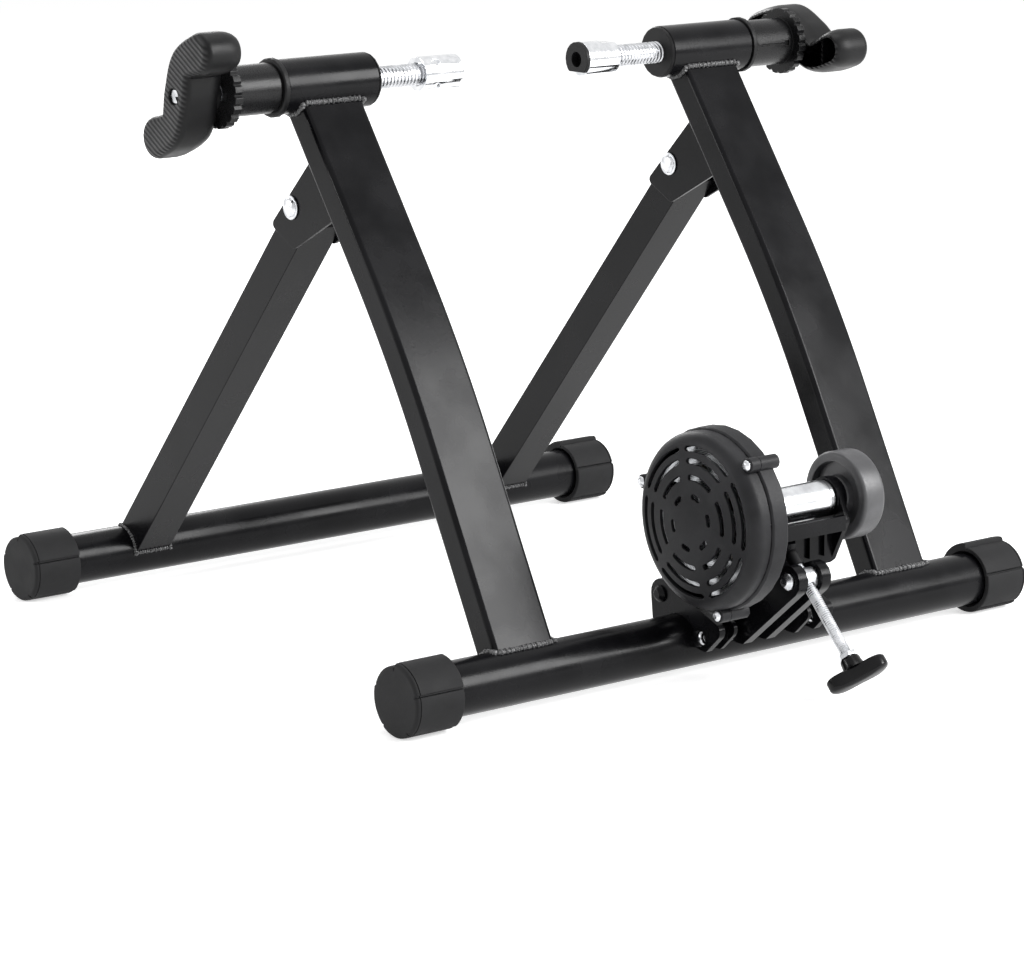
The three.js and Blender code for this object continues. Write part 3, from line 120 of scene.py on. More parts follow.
def spread(tree, value, low=0, high=1, start=0.35, end=0.65):
    """A pattern's middle values, from start to end, spread from low to high."""
    settings = {"From Min": start, "From Max": end, "To Min": low, "To Max": high}
    return add(tree, "ShaderNodeMapRange", settings, {"Value": value}).outputs[0]


def mottled(tree, surface, value, dark, light):
    """The colour runs from dark to light with a pattern."""
    settings = {"data_type": "RGBA", 6: linear(dark), 7: linear(light)}
    mixed = add(tree, "ShaderNodeMix", settings, {0: value})
    tree.links.new(mixed.outputs[2], surface.inputs["Base Color"])


def uneven_gloss(tree, surface, value, low, high, **middle):
    """The roughness runs from low to high with a pattern."""
    tree.links.new(spread(tree, value, low, high, **middle), surface.inputs["Roughness"])


def raised(tree, surface, heights):
    """Surface relief from pairs of a pattern and its height in millimetres."""
    normal = None
    for value, height in heights:
        settings = {"Strength": 1, "Distance": height / mm_in_a_metre}
        links = {"Height": value}
        if normal:
            links["Normal"] = normal
        normal = add(tree, "ShaderNodeBump", settings, links).outputs[0]
    tree.links.new(normal, surface.inputs["Normal"])


# Powder-coated steel tube, satin black: the eye sees a smooth dark skin with a faint orange peel, broad
# soft reflections and slightly uneven gloss
def powder_coat():
    shader = {"IOR": 1.5, "Specular IOR Level": 0.12}
    material, tree, surface, place = new_finish("satin_black_powder_coat_on_steel", shader)
    blotch = noise(tree, place, size=38, detail=3)
    peel = noise(tree, place, size=1.5)
    mottled(tree, surface, spread(tree, blotch), "#08080a", "#101012")
    uneven_gloss(tree, surface, blotch, 0.2, 0.29)
    raised(tree, surface, [(peel, 0.035)])
    return material


# The same coat over a weld bead: thicker, glossier and rippled, so each ripple catches the light; light grey
# specks are also painted into its black colour as glints
def coated_weld():
    shader = {"IOR": 1.5, "Specular IOR Level": 0.4}
    material, tree, surface, place = new_finish("gloss_black_coat_on_weld_bead_with_painted_glints", shader)
    ripples_and_painted_glints = noise(tree, place, size=1.1, detail=3)
    # Painted glints: the colour runs from the black coat to a light grey on the ripples' specks
    mottled(tree, surface, spread(tree, ripples_and_painted_glints), "#1b1b1c", "#6a6a6b")
    uneven_gloss(tree, surface, ripples_and_painted_glints, 0.12, 0.3)
    raised(tree, surface, [(ripples_and_painted_glints, 0.25)])
    return material


# Moulded rubber, dull dark grey with a fine grain and dusty lighter patches
def cap_rubber():
    shader = {"IOR": 1.52, "Specular IOR Level": 0.18}
    material, tree, surface, place = new_finish("moulded_rubber_dark_grey", shader)
    patch = noise(tree, place, size=16, detail=4)
    # The grain of the mould is 0.2 mm, drawn at 0.9 mm so that it shows
    grain = noise(tree, place, size=0.9)
    mottled(tree, surface, spread(tree, patch, start=0.3, end=0.75), "#161617", "#262627")
    uneven_gloss(tree, surface, patch, 0.62, 0.78)
    raised(tree, surface, [(grain, 0.06), (patch, 0.2)])
    return material


# Moulded plastic with a spark-eroded skin: an even, fine matt grain that turns edges pale grey
def matt_plastic(name, dark, light, rough_low, rough_high):
    material, tree, surface, place = new_finish(name, {"IOR": 1.53, "Specular IOR Level": 0.16})
    patch = noise(tree, place, size=24, detail=3)
    # The eroded grain is 0.15 mm, drawn at 0.8 mm so that it shows
    grain = noise(tree, place, size=0.8)
    mottled(tree, surface, spread(tree, patch), dark, light)
    uneven_gloss(tree, surface, grain, rough_low, rough_high)
    raised(tree, surface, [(grain, 0.05)])
    return material


# The handle's outer skin: slanting ribs moulded for grip on dull black nylon, with painted shade in the
# grooves and painted highlights on the crests
def ribbed_grip():
    shader = {"IOR": 1.53, "Specular IOR Level": 0.17}
    material, tree, surface, place = new_finish("ribbed_black_nylon_with_painted_rib_shade", shader)
    rib_spacing, rib_height, rib_slant = 3.4, 0.8, math.radians(-31)
    patch = noise(tree, place, size=20, detail=3)
    slanted = add(tree, "ShaderNodeMapping", {"Rotation": (rib_slant, 0, 0)}, {"Vector": place}).outputs[0]
    ribs = waves(tree, slanted, rib_spacing, {"wave_type": "BANDS", "bands_direction": "Z"})
    # Only the face that looks along the clamp's axis is ribbed, and the sides are plain
    facing = add(tree, "ShaderNodeNewGeometry").outputs["Normal"]
    along = add(tree, "ShaderNodeSeparateXYZ", links={"Vector": facing}).outputs["X"]
    outward = add(tree, "ShaderNodeMath", {"operation": "ABSOLUTE"}, {0: along}).outputs[0]
    outward = spread(tree, outward, start=0.55, end=0.9)
    ribs = add(tree, "ShaderNodeMath", {"operation": "MULTIPLY"}, {0: ribs, 1: outward}).outputs[0]
    grain = noise(tree, place, size=0.8)
    # Painted light and shade: the ribs' grooves are coloured darker and their crests lighter
    mottled(tree, surface, ribs, "#0d0d0e", "#303031")
    uneven_gloss(tree, surface, patch, 0.36, 0.48)
    raised(tree, surface, [(ribs, rib_height), (grain, 0.03)])
    return material


# Bright plate on turned steel: a soft mirror with fine marks from the lathe
def bright_plate(name, dark, light, rough_low, rough_high, mark_height):
    material, tree, surface, place = new_finish(name, {"Metallic": 1})
    cloud = noise(tree, place, size=6, detail=4)
    marks = noise(tree, place, size=0.5, detail=1, stretch=(6, 1, 1))
    mottled(tree, surface, spread(tree, cloud), dark, light)
    uneven_gloss(tree, surface, cloud, rough_low, rough_high)
    raised(tree, surface, [(marks, mark_height)])
    return material


# Ground steel tube: bright, with fine rings round it that stretch each highlight
def ground_steel():
    material, tree, surface, place = new_finish("ground_steel_tube", {"Metallic": 1})
    # Grinding marks are 0.1 mm apart, drawn at 0.5 mm so that they show
    rings = noise(tree, place, size=0.5, stretch=(1, 0.02, 0.02))
    cloud = noise(tree, place, size=14, detail=3)
    mottled(tree, surface, spread(tree, cloud), "#cfd0d3", "#eceef0")
    uneven_gloss(tree, surface, rings, 0.14, 0.26)
    raised(tree, surface, [(rings, 0.01)])
    return material


# Cast iron, painted dark grey: dull sheen over a slightly sandy skin
def painted_iron():
    material, tree, surface, place = new_finish("dark_grey_paint_on_cast_iron", {"IOR": 1.5})
    sand = noise(tree, place, size=1.3, detail=4)
    patch = noise(tree, place, size=18, detail=3)
    mottled(tree, surface, spread(tree, patch), "#38383a", "#49494b")
    uneven_gloss(tree, surface, sand, 0.36, 0.48)
    raised(tree, surface, [(sand, 0.05)])
    return material


# Turned aluminium disc: pale grey metal with fine rings about the shaft
def turned_aluminium():
    material, tree, surface, place = new_finish("turned_aluminium", {"Metallic": 1})
    low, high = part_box("brake_rotor")
    centre = (low + high) / 2
    to_centre = {"Location": (0, -centre.y, -centre.z)}
    centred = add(tree, "ShaderNodeMapping", to_centre, {"Vector": place}).outputs[0]
    # Tool marks are 0.2 mm apart, drawn at 1 mm so that they show
    ring_settings = {"wave_type": "RINGS", "rings_direction": "X", "Distortion": 0.4}
    rings = waves(tree, centred, 1, ring_settings)
    mottled(tree, surface, rings, "#b4b6b9", "#d3d5d8")
    uneven_gloss(tree, surface, rings, 0.2, 0.32, start=0, end=1)
    raised(tree, surface, [(rings, 0.02)])
    return material


black_coat = powder_coat()
weld_coat_with_painted_glints = coated_weld()
rubber = cap_rubber()
housing_plastic = matt_plastic("moulded_abs_charcoal", "#1a1a1c", "#262628", 0.42, 0.54)
sleeve_plastic = matt_plastic("moulded_nylon_semi_gloss_black", "#101011", "#19191a", 0.24, 0.34)
knob_plastic = matt_plastic("moulded_nylon_gloss_black", "#09090a", "#101011", 0.14, 0.22)
dull_plastic = matt_plastic("moulded_nylon_dull_black", "#0f0f10", "#181819", 0.4, 0.52)
grip = ribbed_grip()
# Zinc is a cool grey-white, nickel warmer, and chromium nearly a mirror with a faint haze
zinc = bright_plate("bright_zinc_on_steel", "#b9bbbe", "#dcdde0", 0.2, 0.34, 0.008)
nickel = bright_plate("nickel_plate_on_magnet", "#b7b4ad", "#d8d5cd", 0.18, 0.3, 0.008)
chrome = bright_plate("chromium_plate_on_steel", "#d6d8db", "#f0f1f3", 0.06, 0.13, 0.002)
steel_tube = ground_steel()
iron = painted_iron()
aluminium = turned_aluminium()

body_of = {node: body for body, nodes in frame["record"]["behaviour"]["bodies"].items() for node in nodes}
# Points nearer than this are one point
same_place = 0.002


def put_in_scene(name, data):
    """A new object in the scene."""
    made = bpy.data.objects.new(name, data)
    bpy.context.scene.collection.objects.link(made)
    return made


def shaded(mesh, name, body, material, nodes, edge, sharp, segments):
    """A bmesh in metres becomes a piece that rides on a body and stands for some CAD nodes.

    Shading is smooth but for edges sharper than an angle, and an edge may be broken by a bevel.
    """
    data = bpy.data.meshes.new(name)
    mesh.to_mesh(data)
    mesh.free()
    data.shade_smooth()
    data.set_sharp_from_angle(angle=math.radians(sharp))
    data.materials.append(material)
    piece = put_in_scene(name, data)
    if edge:
        bevel = piece.modifiers.new("edge", "BEVEL")
        bevel.width = edge / mm_in_a_metre
        bevel.segments = segments
        bevel.limit_method = "ANGLE"
        bevel.angle_limit = math.radians(sharp)
        bevel.miter_outer = "MITER_ARC"
    weights = piece.modifiers.new("even", "WEIGHTED_NORMAL")
    weights.keep_sharp = not edge
    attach(piece, body)
    if nodes:
        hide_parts(*nodes)


def finished(mesh, name, body, material, nodes=(), place=None, sharp=35):
    """A bmesh in millimetres becomes a piece, whose edges have their rounding already."""
    bmesh.ops.remove_doubles(mesh, verts=mesh.verts, dist=same_place)
    bmesh.ops.recalc_face_normals(mesh, faces=mesh.faces)
    mesh.transform(stand @ (place or Matrix()))
    shaded(mesh, name, body, material, nodes, edge=0, sharp=sharp, segments=2)


def dressed(node, material, edge=0.4, sharp=35):
    """A CAD node's own shape with its flats made whole, its edges broken and a finish."""
    mesh = bmesh.new()
    mesh.from_mesh(frame["nodes"][node].data)
    bmesh.ops.remove_doubles(mesh, verts=mesh.verts, dist=same_place / mm_in_a_metre)
    flat = math.radians(0.6)
    bmesh.ops.dissolve_limit(mesh, angle_limit=flat, verts=mesh.verts, edges=mesh.edges)
    shaded(mesh, f"{node}_surface", body_of[node], material, [node], edge, sharp, segments=2)


def joined(meshes):
    """Several meshes in one."""
    whole = meshes[0]
    for other in meshes[1:]:
        data = bpy.data.meshes.new("part")
        other.to_mesh(data)
        other.free()
        whole.from_mesh(data)
        bpy.data.meshes.remove(data)
    return whole


def turned(profile, steps=64, closed=True):
    """A profile of [place along X, radius] points, turned about the X axis."""
    mesh = bmesh.new()
    points = [mesh.verts.new((along, 0, radius)) for along, radius in profile]
    pairs = list(zip(points, points[1:]))
    if closed and (profile[0][1] > 0 or profile[-1][1] > 0):
        pairs.append((points[-1], points[0]))
    edges = [mesh.edges.new(pair) for pair in pairs]
    bmesh.ops.spin(
        mesh, geom=points + edges, cent=(0, 0, 0), axis=x_axis, dvec=(0, 0, 0), angle=full_turn, steps=steps,
        use_merge=True, use_duplicate=False, use_normal_flip=False,
    )
    return mesh


def round_rims(mesh, rounding, segments):
    """The rims of a slab's two ends along X, rounded."""
    rims = [e for e in mesh.edges if abs(e.verts[0].co.x - e.verts[1].co.x) < 1e-6]
    bmesh.ops.bevel(
        mesh, geom=rims, offset=rounding, offset_type="OFFSET", segments=segments, profile=0.5,
        affect="EDGES", clamp_overlap=True, material=-1,
    )


def slab(outline, start, end):
    """A closed outline of [y, z] points, as thick as it runs along X."""
    mesh = bmesh.new()
    face = mesh.faces.new([mesh.verts.new((start, y, z)) for y, z in outline])
    made = bmesh.ops.extrude_face_region(mesh, geom=[face])["geom"]
    far_end = [v for v in made if isinstance(v, bmesh.types.BMVert)]
    bmesh.ops.translate(mesh, verts=far_end, vec=(end - start, 0, 0))
    bmesh.ops.recalc_face_normals(mesh, faces=mesh.faces)
    return mesh


def belt(circles, start, end, steps=32):
    """A belt drawn tight round circles of [y, z, radius], as thick as it runs along X."""
    mesh = bmesh.new()
    for y, z, radius in circles:
        for along in (start, end):
            turn = Matrix.Translation((along, y, z)) @ Matrix.Rotation(quarter, 4, "Y")
            bmesh.ops.create_circle(mesh, segments=steps, radius=radius, matrix=turn)
    hull = bmesh.ops.convex_hull(mesh, input=mesh.verts)
    inner = [v for v in hull["geom_interior"] if isinstance(v, bmesh.types.BMVert)]
    bmesh.ops.delete(mesh, geom=inner, context="VERTS")
    flat = math.radians(0.5)
    bmesh.ops.dissolve_limit(mesh, angle_limit=flat, verts=mesh.verts, edges=mesh.edges)
    return mesh


def loop_at(mesh, points, along):
    """A closed loop of edges through [y, z] points."""
    made = [mesh.verts.new((along, y, z)) for y, z in points]
    return [mesh.edges.new(pair) for pair in zip(made, made[1:] + made[:1])]


def round_loop(mesh, radius, along, steps=32):
    """A round loop of edges about the X axis."""
    angles = [i / steps * full_turn for i in range(steps)]
    return loop_at(mesh, [(radius * math.cos(angle), radius * math.sin(angle)) for angle in angles], along)


def bridge(mesh, loops):
    """Faces from each loop to the next."""
    for before, after in zip(loops, loops[1:]):
        bmesh.ops.bridge_loops(mesh, edges=before + after)


def threaded(radius, depth, pitch, start, end, steps=20):
    """A round rod with a thread: a ridge that climbs round its core from start to end."""
    core_steps, crest_share, root_depth, lead_in = 32, 0.3, 1.4 * depth, pitch * 0.1
    core = turned([(start, 0), (start, radius - depth), (end, radius - depth), (end, 0)], core_steps)
    ridge = bmesh.new()
    half = pitch * 0.4
    corners = [
        (-half, radius - root_depth), (-half * crest_share, radius), (half * crest_share, radius),
        (half, radius - root_depth),
    ]
    turns = math.floor((end - start) / pitch - 1)
    points = [ridge.verts.new((start + half + lead_in + along, 0, reach)) for along, reach in corners]
    edges = [ridge.edges.new(pair) for pair in zip(points, points[1:] + points[:1])]
    bmesh.ops.spin(
        ridge, geom=points + edges, cent=(0, 0, 0), axis=x_axis, dvec=(pitch / steps, 0, 0),
        angle=full_turn * turns, steps=steps * turns, use_merge=False, use_duplicate=False,
        use_normal_flip=False,
    )
    open_ends = [e for e in ridge.edges if e.is_boundary]
    bmesh.ops.holes_fill(ridge, edges=open_ends, sides=0)
    bmesh.ops.recalc_face_normals(ridge, faces=ridge.faces)
    return joined([core, ridge])


def weld(path, name, body, radius=2.2, pitch=2.0):
    """A weld bead: overlapping flattened drops along a path, each laid on the one before."""
    uneven, flatness = 0.16, 0.75
    mesh = bmesh.new()
    gone = 0.0
    for here, there in zip(path, path[1:]):
        run = there - here
        while gone < run.length:
            at = here + run * (gone / run.length)
            # Drops swell and shrink with their place, so no two beads look alike
            swell = 1 + uneven * math.sin(at.x * 1.7 + at.y * 2.3 + at.z * 3.1)
            turn = run.to_track_quat("Z", "Y").to_matrix().to_4x4()
            shape = Matrix.Translation(at) @ turn @ Matrix.Diagonal((swell, swell, flatness, 1))
            bmesh.ops.create_icosphere(mesh, subdivisions=2, radius=radius, matrix=shape)
            gone += pitch
        gone -= run.length
    mesh.transform(stand)
    bmesh.ops.recalc_face_normals(mesh, faces=mesh.faces)
    shaded(mesh, name, body, weld_coat_with_painted_glints, [], edge=0, sharp=60, segments=1)


# Sizes of the stand, as the CAD gives them
foot_axis, foot_radius, foot_wall = 24.9, 19, 1.6
foot_span, foot_spacing = 557, 474
clamp_forward, clamp_height = 223, 400.4
side_middle = 172
upright_width, upright_depth, upright_rounding = 50, 22.4, 3.6
lower_lean, upper_lean, bend_radius, upright_lead = 27.5, 35.3, 970, 4.7
# The uprights end short of the foot's axis and the barrel's
upright_foot_gap, upright_top_gap = 14.6, 14.4
barrel_radius, barrel_bore, barrel_half, barrel_chamfer = 19, 17, 38, 0.7
hinge_below, hinge_forward = 63.8, 53.9
# Beads lie a little way off the tubes' skin, and along the edge of what they join
weld_lift, weld_out, weld_short, arc_steps = 0.4, 0.8, 2, 8


def leaning(angle):
    return Vector((math.sin(math.radians(angle)), math.cos(math.radians(angle))))


def away_from(run):
    return Vector((run.y, -run.x))


lower_run, upper_run = leaning(lower_lean), leaning(upper_lean)
foot_point = Vector((0, foot_axis))
clamp_point = Vector((clamp_forward, clamp_height))
upright_top = clamp_point + away_from(upper_run) * upright_lead
knee_along = (upright_top - foot_point).cross(upper_run) / lower_run.cross(upper_run)
knee = foot_point + lower_run * knee_along
hinge_point = upright_top - upper_run * hinge_below + away_from(upper_run) * hinge_forward


def upright_line(offset, low_end, high_end, steps=14):
    """One side of an upright seen from its side, offset forwards from its middle line."""
    tangent = bend_radius * math.tan(math.radians(upper_lean - lower_lean) / 2)
    middle = knee - lower_run * tangent + away_from(lower_run) * bend_radius
    bend = []
    for i in range(steps + 1):
        out = away_from(leaning(lower_lean + i / steps * (upper_lean - lower_lean)))
        bend.append(middle + out * (offset - bend_radius))
    low = foot_point + lower_run * low_end + away_from(lower_run) * offset
    high = upright_top - upper_run * high_end + away_from(upper_run) * offset
    return [low, *bend, high]


def build_upright(hand, side):
    half = upright_depth / 2
    front = upright_line(half, upright_foot_gap, upright_top_gap)
    back = upright_line(-half, upright_foot_gap, upright_top_gap)
    outline = [(p.x, p.y) for p in front + back[::-1]]
    middle = side * side_middle
    mesh = slab(outline, middle - upright_width / 2, middle + upright_width / 2)
    round_rims(mesh, upright_rounding, segments=5)
    finished(mesh, f"{hand}_upright_tube", "frame", black_coat, [f"{hand}_upright"], sharp=40)


def build_upright_welds(hand, side):
    """Beads run round each upright where it meets the barrel above and the foot tube below."""
    middle, half = side * side_middle, upright_width / 2
    for name, centre, radius, run, away, lead in (
        ("top", clamp_point, barrel_radius, -upper_run, away_from(upper_run), upright_lead),
        ("foot", foot_point, foot_radius, lower_run, away_from(lower_run), 0),
    ):

        def on_tube(across, out=0.0, lift=0.0):
            """A point on the round tube's skin under a place across the upright, moved out and lifted."""
            depth = math.sqrt(radius * radius - across * across)
            return centre + away * (across + out) + run * (depth + lift)

        for label, offset in (("front", upright_depth / 2), ("back", -upright_depth / 2)):
            point = on_tube(offset + lead, out=math.copysign(weld_out, offset))
            line = [Vector((middle + end * (half - weld_short), point.x, point.y)) for end in (-1, 1)]
            weld(line, f"{hand}_upright_weld_{name}_{label}", "frame")
        for label, end in sides:
            arc = []
            for i in range(arc_steps + 1):
                point = on_tube((i / arc_steps - 0.5) * upright_depth + lead, lift=weld_lift)
                arc.append(Vector((middle + end * (half + weld_lift), point.x, point.y)))
            weld(arc, f"{hand}_upright_weld_{name}_{label}", "frame")


for hand, side in sides:
    build_upright(hand, side)
    build_upright_welds(hand, side)

# Foot tubes, which end inside their caps, and clamp barrels
foot_end_gap, fine_steps = 4.3, 96
foot_half = foot_span / 2 - foot_end_gap
foot_profile = [
    (-foot_half, foot_radius - foot_wall), (-foot_half, foot_radius), (foot_half, foot_radius),
    (foot_half, foot_radius - foot_wall),
]
rear_place = Matrix.Translation((0, 0, foot_axis))
front_place = Matrix.Translation((0, foot_spacing, foot_axis))
mesh = turned(foot_profile, fine_steps)
finished(mesh, "rear_foot_tube_skin", "frame", black_coat, ["rear_foot_tube"], rear_place)
mesh = turned(foot_profile, fine_steps)
finished(mesh, "front_foot_tube_skin", "front_legs", black_coat, ["front_foot_tube"], front_place)
barrel_rise = [
    (barrel_half, barrel_bore), (barrel_half, barrel_radius - barrel_chamfer),
    (barrel_half - barrel_chamfer, barrel_radius),
]
barrel_profile = [(-along, radius) for along, radius in barrel_rise] + barrel_rise[::-1]
for hand, side in sides:
    place = Matrix.Translation((side * side_middle, clamp_forward, clamp_height))
    mesh = turned(barrel_profile, fine_steps)
    finished(mesh, f"{hand}_clamp_tube", "frame", black_coat, [f"{hand}_clamp_barrel"], place)

# Front legs, drawn back from the front foot's axis and turned up to the hinge
leg_half_width, leg_rounding, leg_weld_radius = 15, 3, 1.7
leg_rise, leg_top_radius, leg_under, leg_under_radius = 6, 7.5, -10.7, 3
leg_foot_gap, leg_foot_half, leg_foot_radius = 15.5, 13.2, 0.5
leg_foot_depth, leg_weld_edge, leg_weld_half, leg_arc_lift = 29, 13.9, 14, 0.3
leg_run = Vector((foot_spacing - hinge_point.x, foot_axis - hinge_point.y))
leg_length = leg_run.length
leg_angle = math.atan2(leg_run.y, leg_run.x)
leg_lean = math.asin(leg_rise / leg_length)
leg_back = -math.sqrt(leg_length * leg_length - leg_rise * leg_rise)
leg_circles = [
    (leg_back, leg_rise, leg_top_radius), (-leg_foot_gap, leg_foot_half, leg_foot_radius),
    (-leg_foot_gap, -leg_foot_half, leg_foot_radius),
    (leg_back + leg_under_radius, leg_under, leg_under_radius),
]
leg_place = (
    Matrix.Translation((0, hinge_point.x, hinge_point.y)) @ Matrix.Rotation(leg_angle, 4, "X")
    @ Matrix.Translation((0, leg_length, 0)) @ Matrix.Rotation(leg_lean, 4, "X")
)
for hand, side in sides:
    middle = side * side_middle
    mesh = belt(leg_circles, middle - leg_half_width, middle + leg_half_width)
    round_rims(mesh, leg_rounding, segments=5)
    node = f"{hand}_front_leg"
    finished(mesh, f"{node}_tube", "front_legs", black_coat, [node], leg_place, sharp=40)
    for label, end in (("outer", side), ("inner", -side)):
        along = middle + end * (leg_half_width + weld_lift)
        arc = []
        for i in range(arc_steps + 1):
            across = (i / arc_steps - 0.5) * leg_foot_depth
            back = -math.sqrt((foot_radius + leg_arc_lift) ** 2 - across ** 2)
            arc.append(leg_place @ Vector((along, back, across)))
        weld(arc, f"{hand}_leg_weld_{label}", "front_legs", leg_weld_radius)
    for label, across in (("top", leg_weld_edge), ("under", -leg_weld_edge)):
        back = -math.sqrt((foot_radius + weld_lift) ** 2 - across ** 2)
        ends = (middle - leg_weld_half, middle + leg_weld_half)
        line = [leg_place @ Vector((along, back, across)) for along in ends]
        weld(line, f"{hand}_leg_weld_{label}", "front_legs", leg_weld_radius)

# Sheet-metal brackets, bolts and nuts keep the CAD's shapes, with broken edges
for hand, _ in sides:
    dressed(f"{hand}_fork_bracket", black_coat, edge=0.6)
    dressed(f"{hand}_hinge_nut", zinc, edge=0.5)
    dressed(f"{hand}_clamp_nut", zinc, edge=0.3)
    dressed(f"{hand}_end_bush", dull_plastic, edge=0.3)
    dressed(f"{hand}_lock_ring", dull_plastic, edge=0.4)
    dressed(f"{hand}_lock_sleeve", sleeve_plastic, edge=0.35, sharp=30)
    dressed(f"{hand}_axle_cup", chrome, edge=0.35, sharp=30)
    dressed(f"{hand}_handle_bolt", zinc, edge=0.3)
    dressed(f"{hand}_swivel_pin", zinc, edge=0.3)
    dressed(f"{hand}_bearing", zinc, edge=0.3)
dressed("right_cup_insert", dull_plastic, edge=0.4)

# Foot caps: five levels of radius spiral round each, with a groove between them. Turning one levels the
# stand
cap_outer, cap_length, cap_radius, cap_step, cap_end = foot_span / 2, 39, 24.9, 0.7, 4
cap_levels, level_steps, groove_half, groove_depth, groove_lip = 5, 14, 0.6, 1.3, 0.2


def cap_outline(inset=0.0):
    """A foot cap's levels seen along its tube, so far inside its outer skin."""
    level_turn = full_turn / cap_levels
    points = []
    for level in range(cap_levels):
        radius = cap_radius + (level - cap_levels // 2) * cap_step - inset
        start = quarter + level / cap_levels * full_turn
        edge = groove_half / radius
        lip, shoulder = edge * 1.6, edge * 2.6
        stops = [(0, -groove_depth), (edge, -groove_depth), (lip, -groove_lip), (shoulder, 0)]
        level_arc = level_turn - 2 * shoulder
        arc = [(shoulder + i / level_steps * level_arc, 0) for i in range(1, level_steps)]
        ending = [(level_turn - along, drop) for along, drop in stops[::-1]]
        for along, drop in (stops + arc + ending)[:-1]:
            reach = radius + drop
            points.append((reach * math.cos(start + along), reach * math.sin(start + along)))
    return points


# A foot cap's outside from its mouth to its end disc, as [place, how far in], and its inside as
# [radius, place]
cap_inner = cap_outer - cap_length
cap_outside = [
    (cap_inner, 1.2), (cap_inner + 0.4, 0.3), (cap_inner + 1.4, 0), (cap_outer - 3.6, 0),
    (cap_outer - 3.4, 0.6), (cap_outer - 2.9, 0.6), (cap_outer - 2.7, 0.1), (cap_outer - 1.6, 0.2),
    (cap_outer - 0.7, 0.9), (cap_outer - 0.15, 1.9), (cap_outer, 3.1),
]
cap_inside = [
    (20.9, cap_inner), (20.5, cap_inner + 1), (19.5, cap_inner + 2.4), (19.3, cap_inner + 4),
    (19.3, cap_outer - cap_end),
]


def build_cap(end, hand, forward):
    mesh = bmesh.new()
    skin = [loop_at(mesh, cap_outline(inset), along) for along, inset in cap_outside]
    bridge(mesh, skin)
    bmesh.ops.contextual_create(mesh, geom=skin[-1])
    mouth = [round_loop(mesh, radius, along, steps=64) for radius, along in cap_inside]
    bridge(mesh, mouth)
    bmesh.ops.contextual_create(mesh, geom=mouth[-1])
    bmesh.ops.triangle_fill(mesh, edges=skin[0] + mouth[0], use_beauty=True, use_dissolve=False)
    turn = math.pi if hand == "left" else 0
    place = Matrix.Translation((0, forward, foot_axis)) @ Matrix.Rotation(turn, 4, "Z")
    node = f"{end}_{hand}_foot_cap"
    finished(mesh, f"{node}_moulding", f"{end}_{hand}_cap", rubber, [node], place)


# Hinge bolts: a domed head on a round flange, to the stand's left
hinge_bolt_profile = [
    (24.4, 0), (24.4, 4.6), (24, 5), (-18.6, 5), (-18.6, 8.3), (-18.8, 8.5), (-19.5, 8.5), (-19.8, 8.2),
    (-19.8, 6.9), (-20.2, 6.8), (-20.9, 6.2), (-21.5, 4.9), (-21.85, 3), (-22, 1), (-22, 0),
]
for hand, side in sides:
    place = Matrix.Translation((side * side_middle, hinge_point.x, hinge_point.y))
    node = f"{hand}_hinge_bolt"
    finished(turned(hinge_bolt_profile), f"{node}_turning", "frame", zinc, [node], place, sharp=40)

# Each clamp is drawn to the stand's right. The left one is turned round, and the right one is screwed
# out a little further
right_clamp_out = 3


def clamp_place(hand):
    """Where the pieces of one side's clamp lie."""
    turn, out = (math.pi, 0) if hand == "left" else (0, right_clamp_out)
    axis = Matrix.Translation((0, clamp_forward, clamp_height))
    return axis @ Matrix.Rotation(turn, 4, "Z") @ Matrix.Translation((out, 0, 0))


# Clamp spindles: a plain neck in the cup, then the thread
spindle_radius, spindle_pitch, spindle_depth, thread_start, thread_end = 8, 3, 0.9, 88, 269.7
neck_profile = [(70.3, 0), (70.3, 5.8), (85.1, 5.8), (85.1, 7.4), (85.6, 7.9), (88.4, 7.9), (88.4, 0)]
for hand, _ in sides:
    thread = threaded(spindle_radius, spindle_depth, spindle_pitch, thread_start, thread_end)
    mesh = joined([thread, turned(neck_profile, steps=40)])
    body = f"{hand}_screw_and_handle"
    finished(mesh, f"{hand}_threaded_spindle", body, zinc, [f"{hand}_spindle"], clamp_place(hand), sharp=30)

# Clamp handles: an S-shaped hollow moulding, open on the sleeve's side
handle_start, handle_end, handle_wall, handle_round, half_band = 262, 292.5, 3, 5.5, 14.5
handle_reach, handle_reach_bend, handle_knee, handle_knee_bend, waist_share = 41.2, 4, 20, 11, 0.12
hub_radius, hub_bore, hub_floor, rib_half, rib_reach, rib_start = 12.5, 8.3, 270.3, 1, 11.4, 270


def handle_middle(count):
    """The handle's middle line through five points, as evenly smooth as a bent rod."""
    stations = [
        Vector((-handle_reach, -handle_reach_bend)), Vector((-handle_knee, -handle_knee_bend)), Vector((0, 0)),
        Vector((handle_knee, handle_knee_bend)), Vector((handle_reach, handle_reach_bend)),
    ]
    points = []
    for i in range(count + 1):
        place = i / count * (len(stations) - 1)
        k = min(int(place), len(stations) - 2)
        t = place - k
        a, b, c, d = (stations[min(max(j, 0), len(stations) - 1)] for j in (k - 1, k, k + 1, k + 2))
        # The slope at each end is half the step between the points before and after it
        v0, v1 = (c - a) / 2, (d - b) / 2
        points.append(
            (2 * b - 2 * c + v0 + v1) * t ** 3 + (-3 * b + 3 * c - 2 * v0 - v1) * t ** 2 + v0 * t + b
        )
    return points


